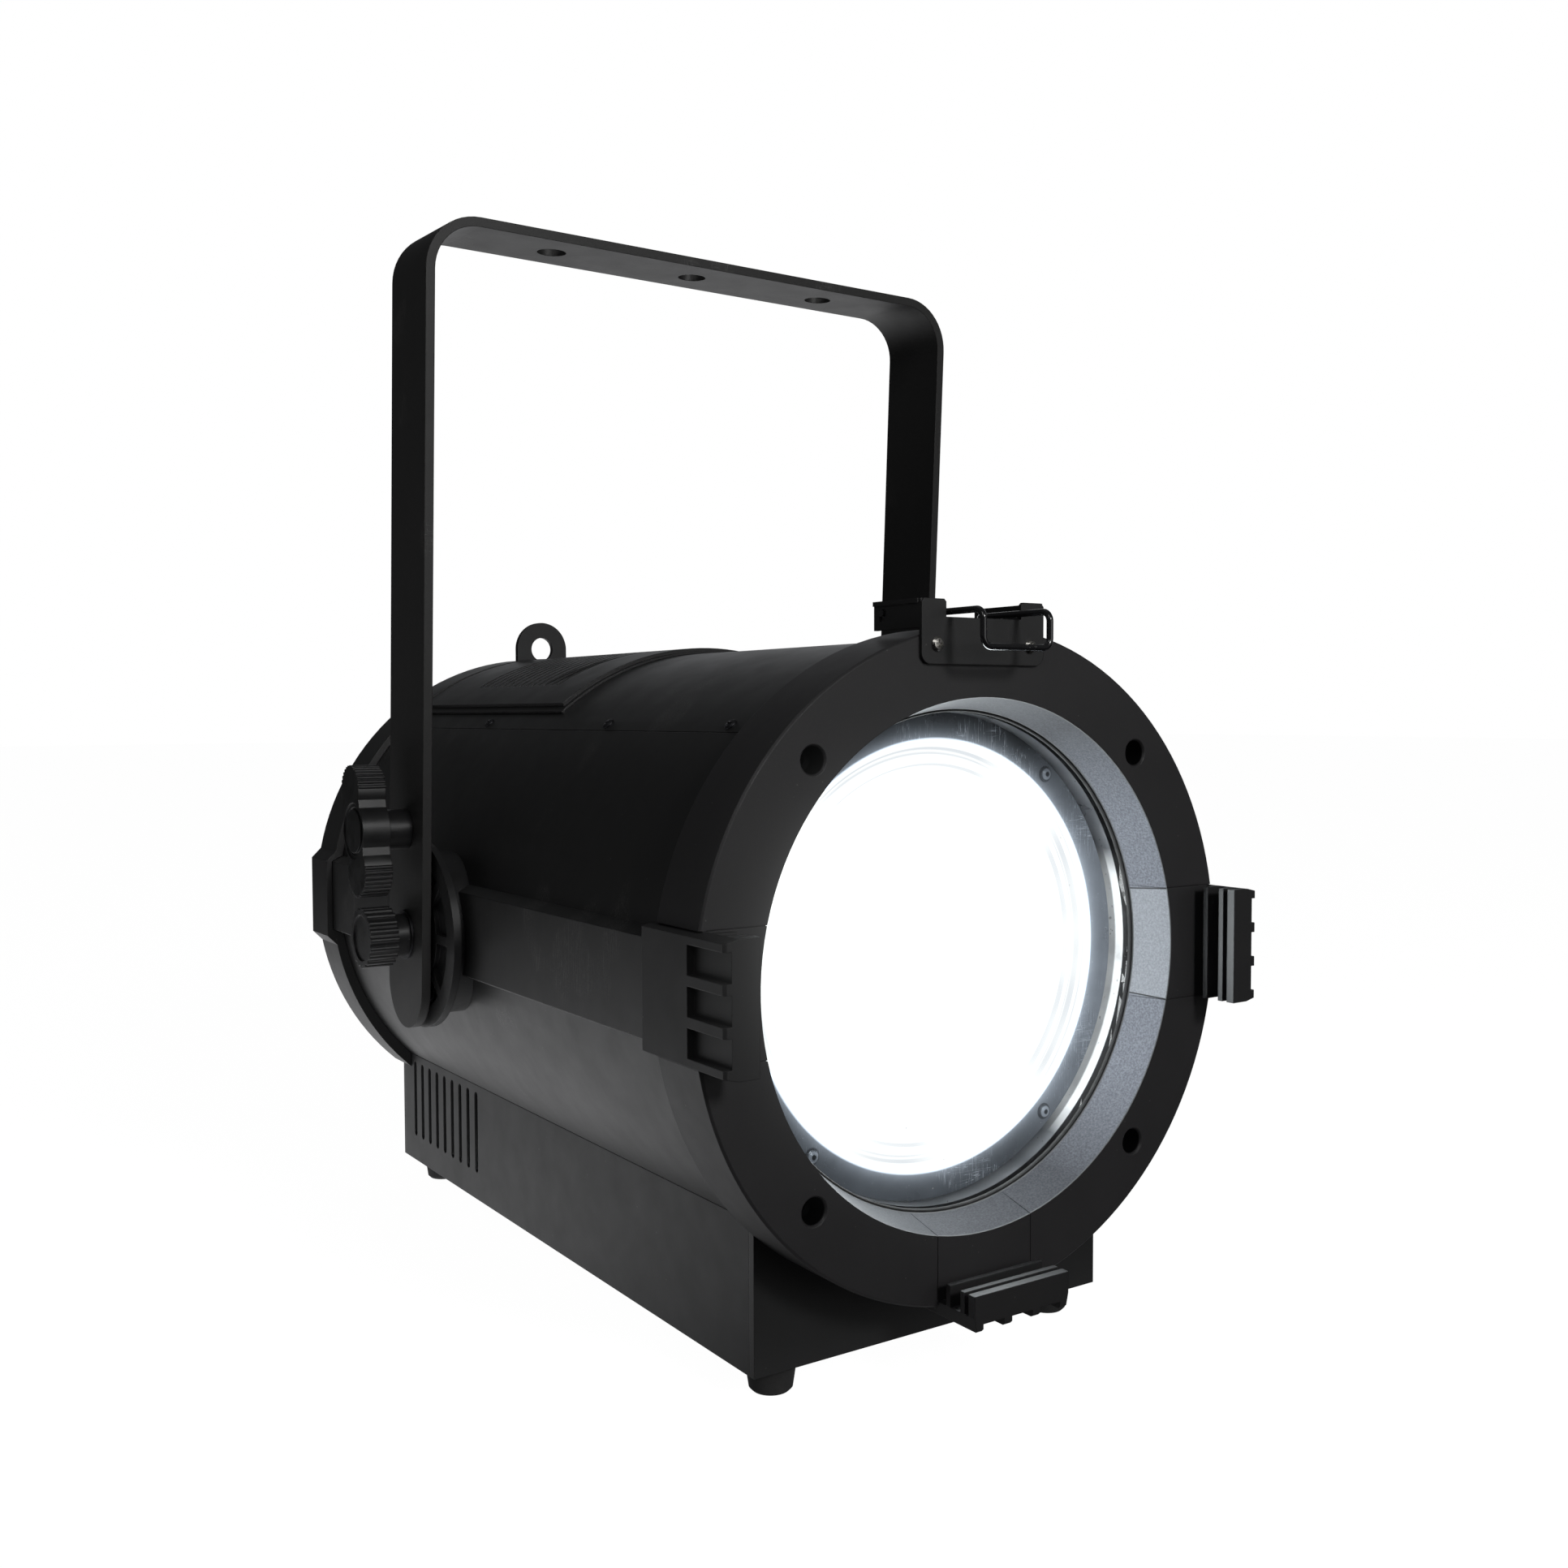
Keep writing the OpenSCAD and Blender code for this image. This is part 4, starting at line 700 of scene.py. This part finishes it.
CAMERA_PLACE = (-0.380147, -0.640207, -0.210858)
CAMERA_AZIMUTH, CAMERA_PITCH, CAMERA_ROLL = -0.593438, -0.044789, 0.003008  # radians
CAMERA_LENS = 35.543  # millimetres of focal length on a 36 mm wide sensor

# Each soft box, in metres: where it stands, what it points at, its width and height; its watts
SOFT_BOXES = {
    "top_light": ((-0.2, 0.4, 1.5), (0.0, 0.0, -0.3), (1.2, 1.2), 0.45),
    "key_light": ((0.05, -1.95, 0.62), (0.0, -0.2, -0.25), (0.36, 0.36), 14.0),
    "front_fill": ((0.5, -1.9, -0.1), (0.0, -0.2, -0.35), (1.2, 0.6), 2.4),
    "side_key": ((-1.1, -1.1, 0.9), (0.0, 0.0, -0.2), (0.7, 0.7), 3.0),
}


def place_in_scene(name, data):
    """A new object at the origin that shows the mesh, light or camera data."""
    obj = bpy.data.objects.new(name, data)
    bpy.context.scene.collection.objects.link(obj)
    return obj


def make_floor():
    """Pale floor: white to the camera, softly lit, and bright enough to bounce light."""
    data = bpy.data.meshes.new("floor")
    mesh = bmesh.new()
    corners = [(-1, -1), (1, -1), (1, 1), (-1, 1)]
    height = FLOOR_Z - 0.1 * MM
    mesh.faces.new([mesh.verts.new((x * FLOOR_HALF, y * FLOOR_HALF, height)) for x, y in corners])
    mesh.to_mesh(data)
    mesh.free()
    g = new_graph("floor")
    shadowed = g.add("BsdfDiffuse", {"Color": grey(0.09)}).outputs[0]
    seen = g.add("AddShader", {0: g.emission(WHITE, 0.985), 1: shadowed}).outputs[0]
    offset = g.vector("SUBTRACT", g.place, (*PATCH_MIDDLE, FLOOR_Z)).outputs[0]
    reach = g.vector("LENGTH", offset).outputs["Value"]
    patch = g.times(
        g.remap(reach, PATCH_FULL, PATCH_END, 1.0, 0.0), g.remap(g.axis("Y"), *PATCH_FRONT)
    )
    toward = g.vector("NORMALIZE", offset).outputs[0]
    facing = g.vector("DOT_PRODUCT", toward, BACKDROP).outputs["Value"]
    power = g.times(g.most(patch, g.remap(facing, 0.75, 0.92)), BOUNCE)
    bounce = g.emission((0.98, 0.985, 1.0), power)
    data.materials.append(g.finish(g.blend(g.to_camera(), bounce, seen)))
    place_in_scene("floor", data)


def make_world():
    """White behind the object; for light and reflections dim, but bright towards BACKDROP."""
    world = bpy.data.worlds.new("studio")
    bpy.context.scene.world = world
    g = Graph(world, "Generated")
    facing = g.vector("DOT_PRODUCT", g.place, BACKDROP).outputs["Value"]
    level = g.remap(facing, 0.82, 0.97, 0.05, 0.75)
    studio = g.add("Background", {"Color": (0.95, 0.97, 1.0), "Strength": level}).outputs[0]
    white = g.add("Background", {"Color": WHITE, "Strength": 1.0}).outputs[0]
    g.finish(g.blend(g.to_camera(), studio, white), "OutputWorld")


def make_haze():
    """Soft glow that bleeds out of the blown-out lens, as in a real camera."""
    scene = bpy.context.scene
    scene.use_nodes = True
    tree = scene.node_tree
    tree.nodes.clear()
    layers = tree.nodes.new("CompositorNodeRLayers")
    glare = tree.nodes.new("CompositorNodeGlare")
    glare.glare_type = "BLOOM"
    glare.quality = "MEDIUM"
    for key, value in (("Threshold", 1.2), ("Strength", 0.5), ("Size", 0.1)):
        glare.inputs[key].default_value = value
    out = tree.nodes.new("CompositorNodeComposite")
    tree.links.new(layers.outputs["Image"], glare.inputs["Image"])
    tree.links.new(glare.outputs["Image"], out.inputs["Image"])


def make_soft_box(name, place, aim, size, watts):
    """A rectangular area light that the camera doesn't see."""
    light = bpy.data.lights.new(name, "AREA")
    light.shape = "RECTANGLE"
    light.size, light.size_y = size
    light.energy = watts
    box = place_in_scene(name, light)
    box.location = place
    box.rotation_mode = "QUATERNION"
    box.rotation_quaternion = (Vector(aim) - Vector(place)).to_track_quat("-Z", "Y")
    box.visible_camera = False


def make_camera():
    """A camera level along Y, turned by its azimuth, pitch and roll."""
    data = bpy.data.cameras.new("camera")
    data.sensor_width = 36.0
    data.lens = CAMERA_LENS
    data.clip_start, data.clip_end = 0.02, 60.0
    turn = (
        Matrix.Rotation(CAMERA_AZIMUTH, 3, "Z")
        @ Matrix.Rotation(CAMERA_PITCH, 3, "X")
        @ Matrix.Rotation(CAMERA_ROLL, 3, "Y")
        @ Matrix.Rotation(math.pi / 2, 3, "X")
    )
    camera = place_in_scene("camera", data)
    camera.matrix_world = Matrix.Translation(CAMERA_PLACE) @ turn.to_4x4()
    bpy.context.scene.camera = camera


make_floor()
make_world()
for name, settings in SOFT_BOXES.items():
    make_soft_box(name, *settings)
make_camera()
make_haze()
bpy.context.scene.view_settings.view_transform = "Standard"
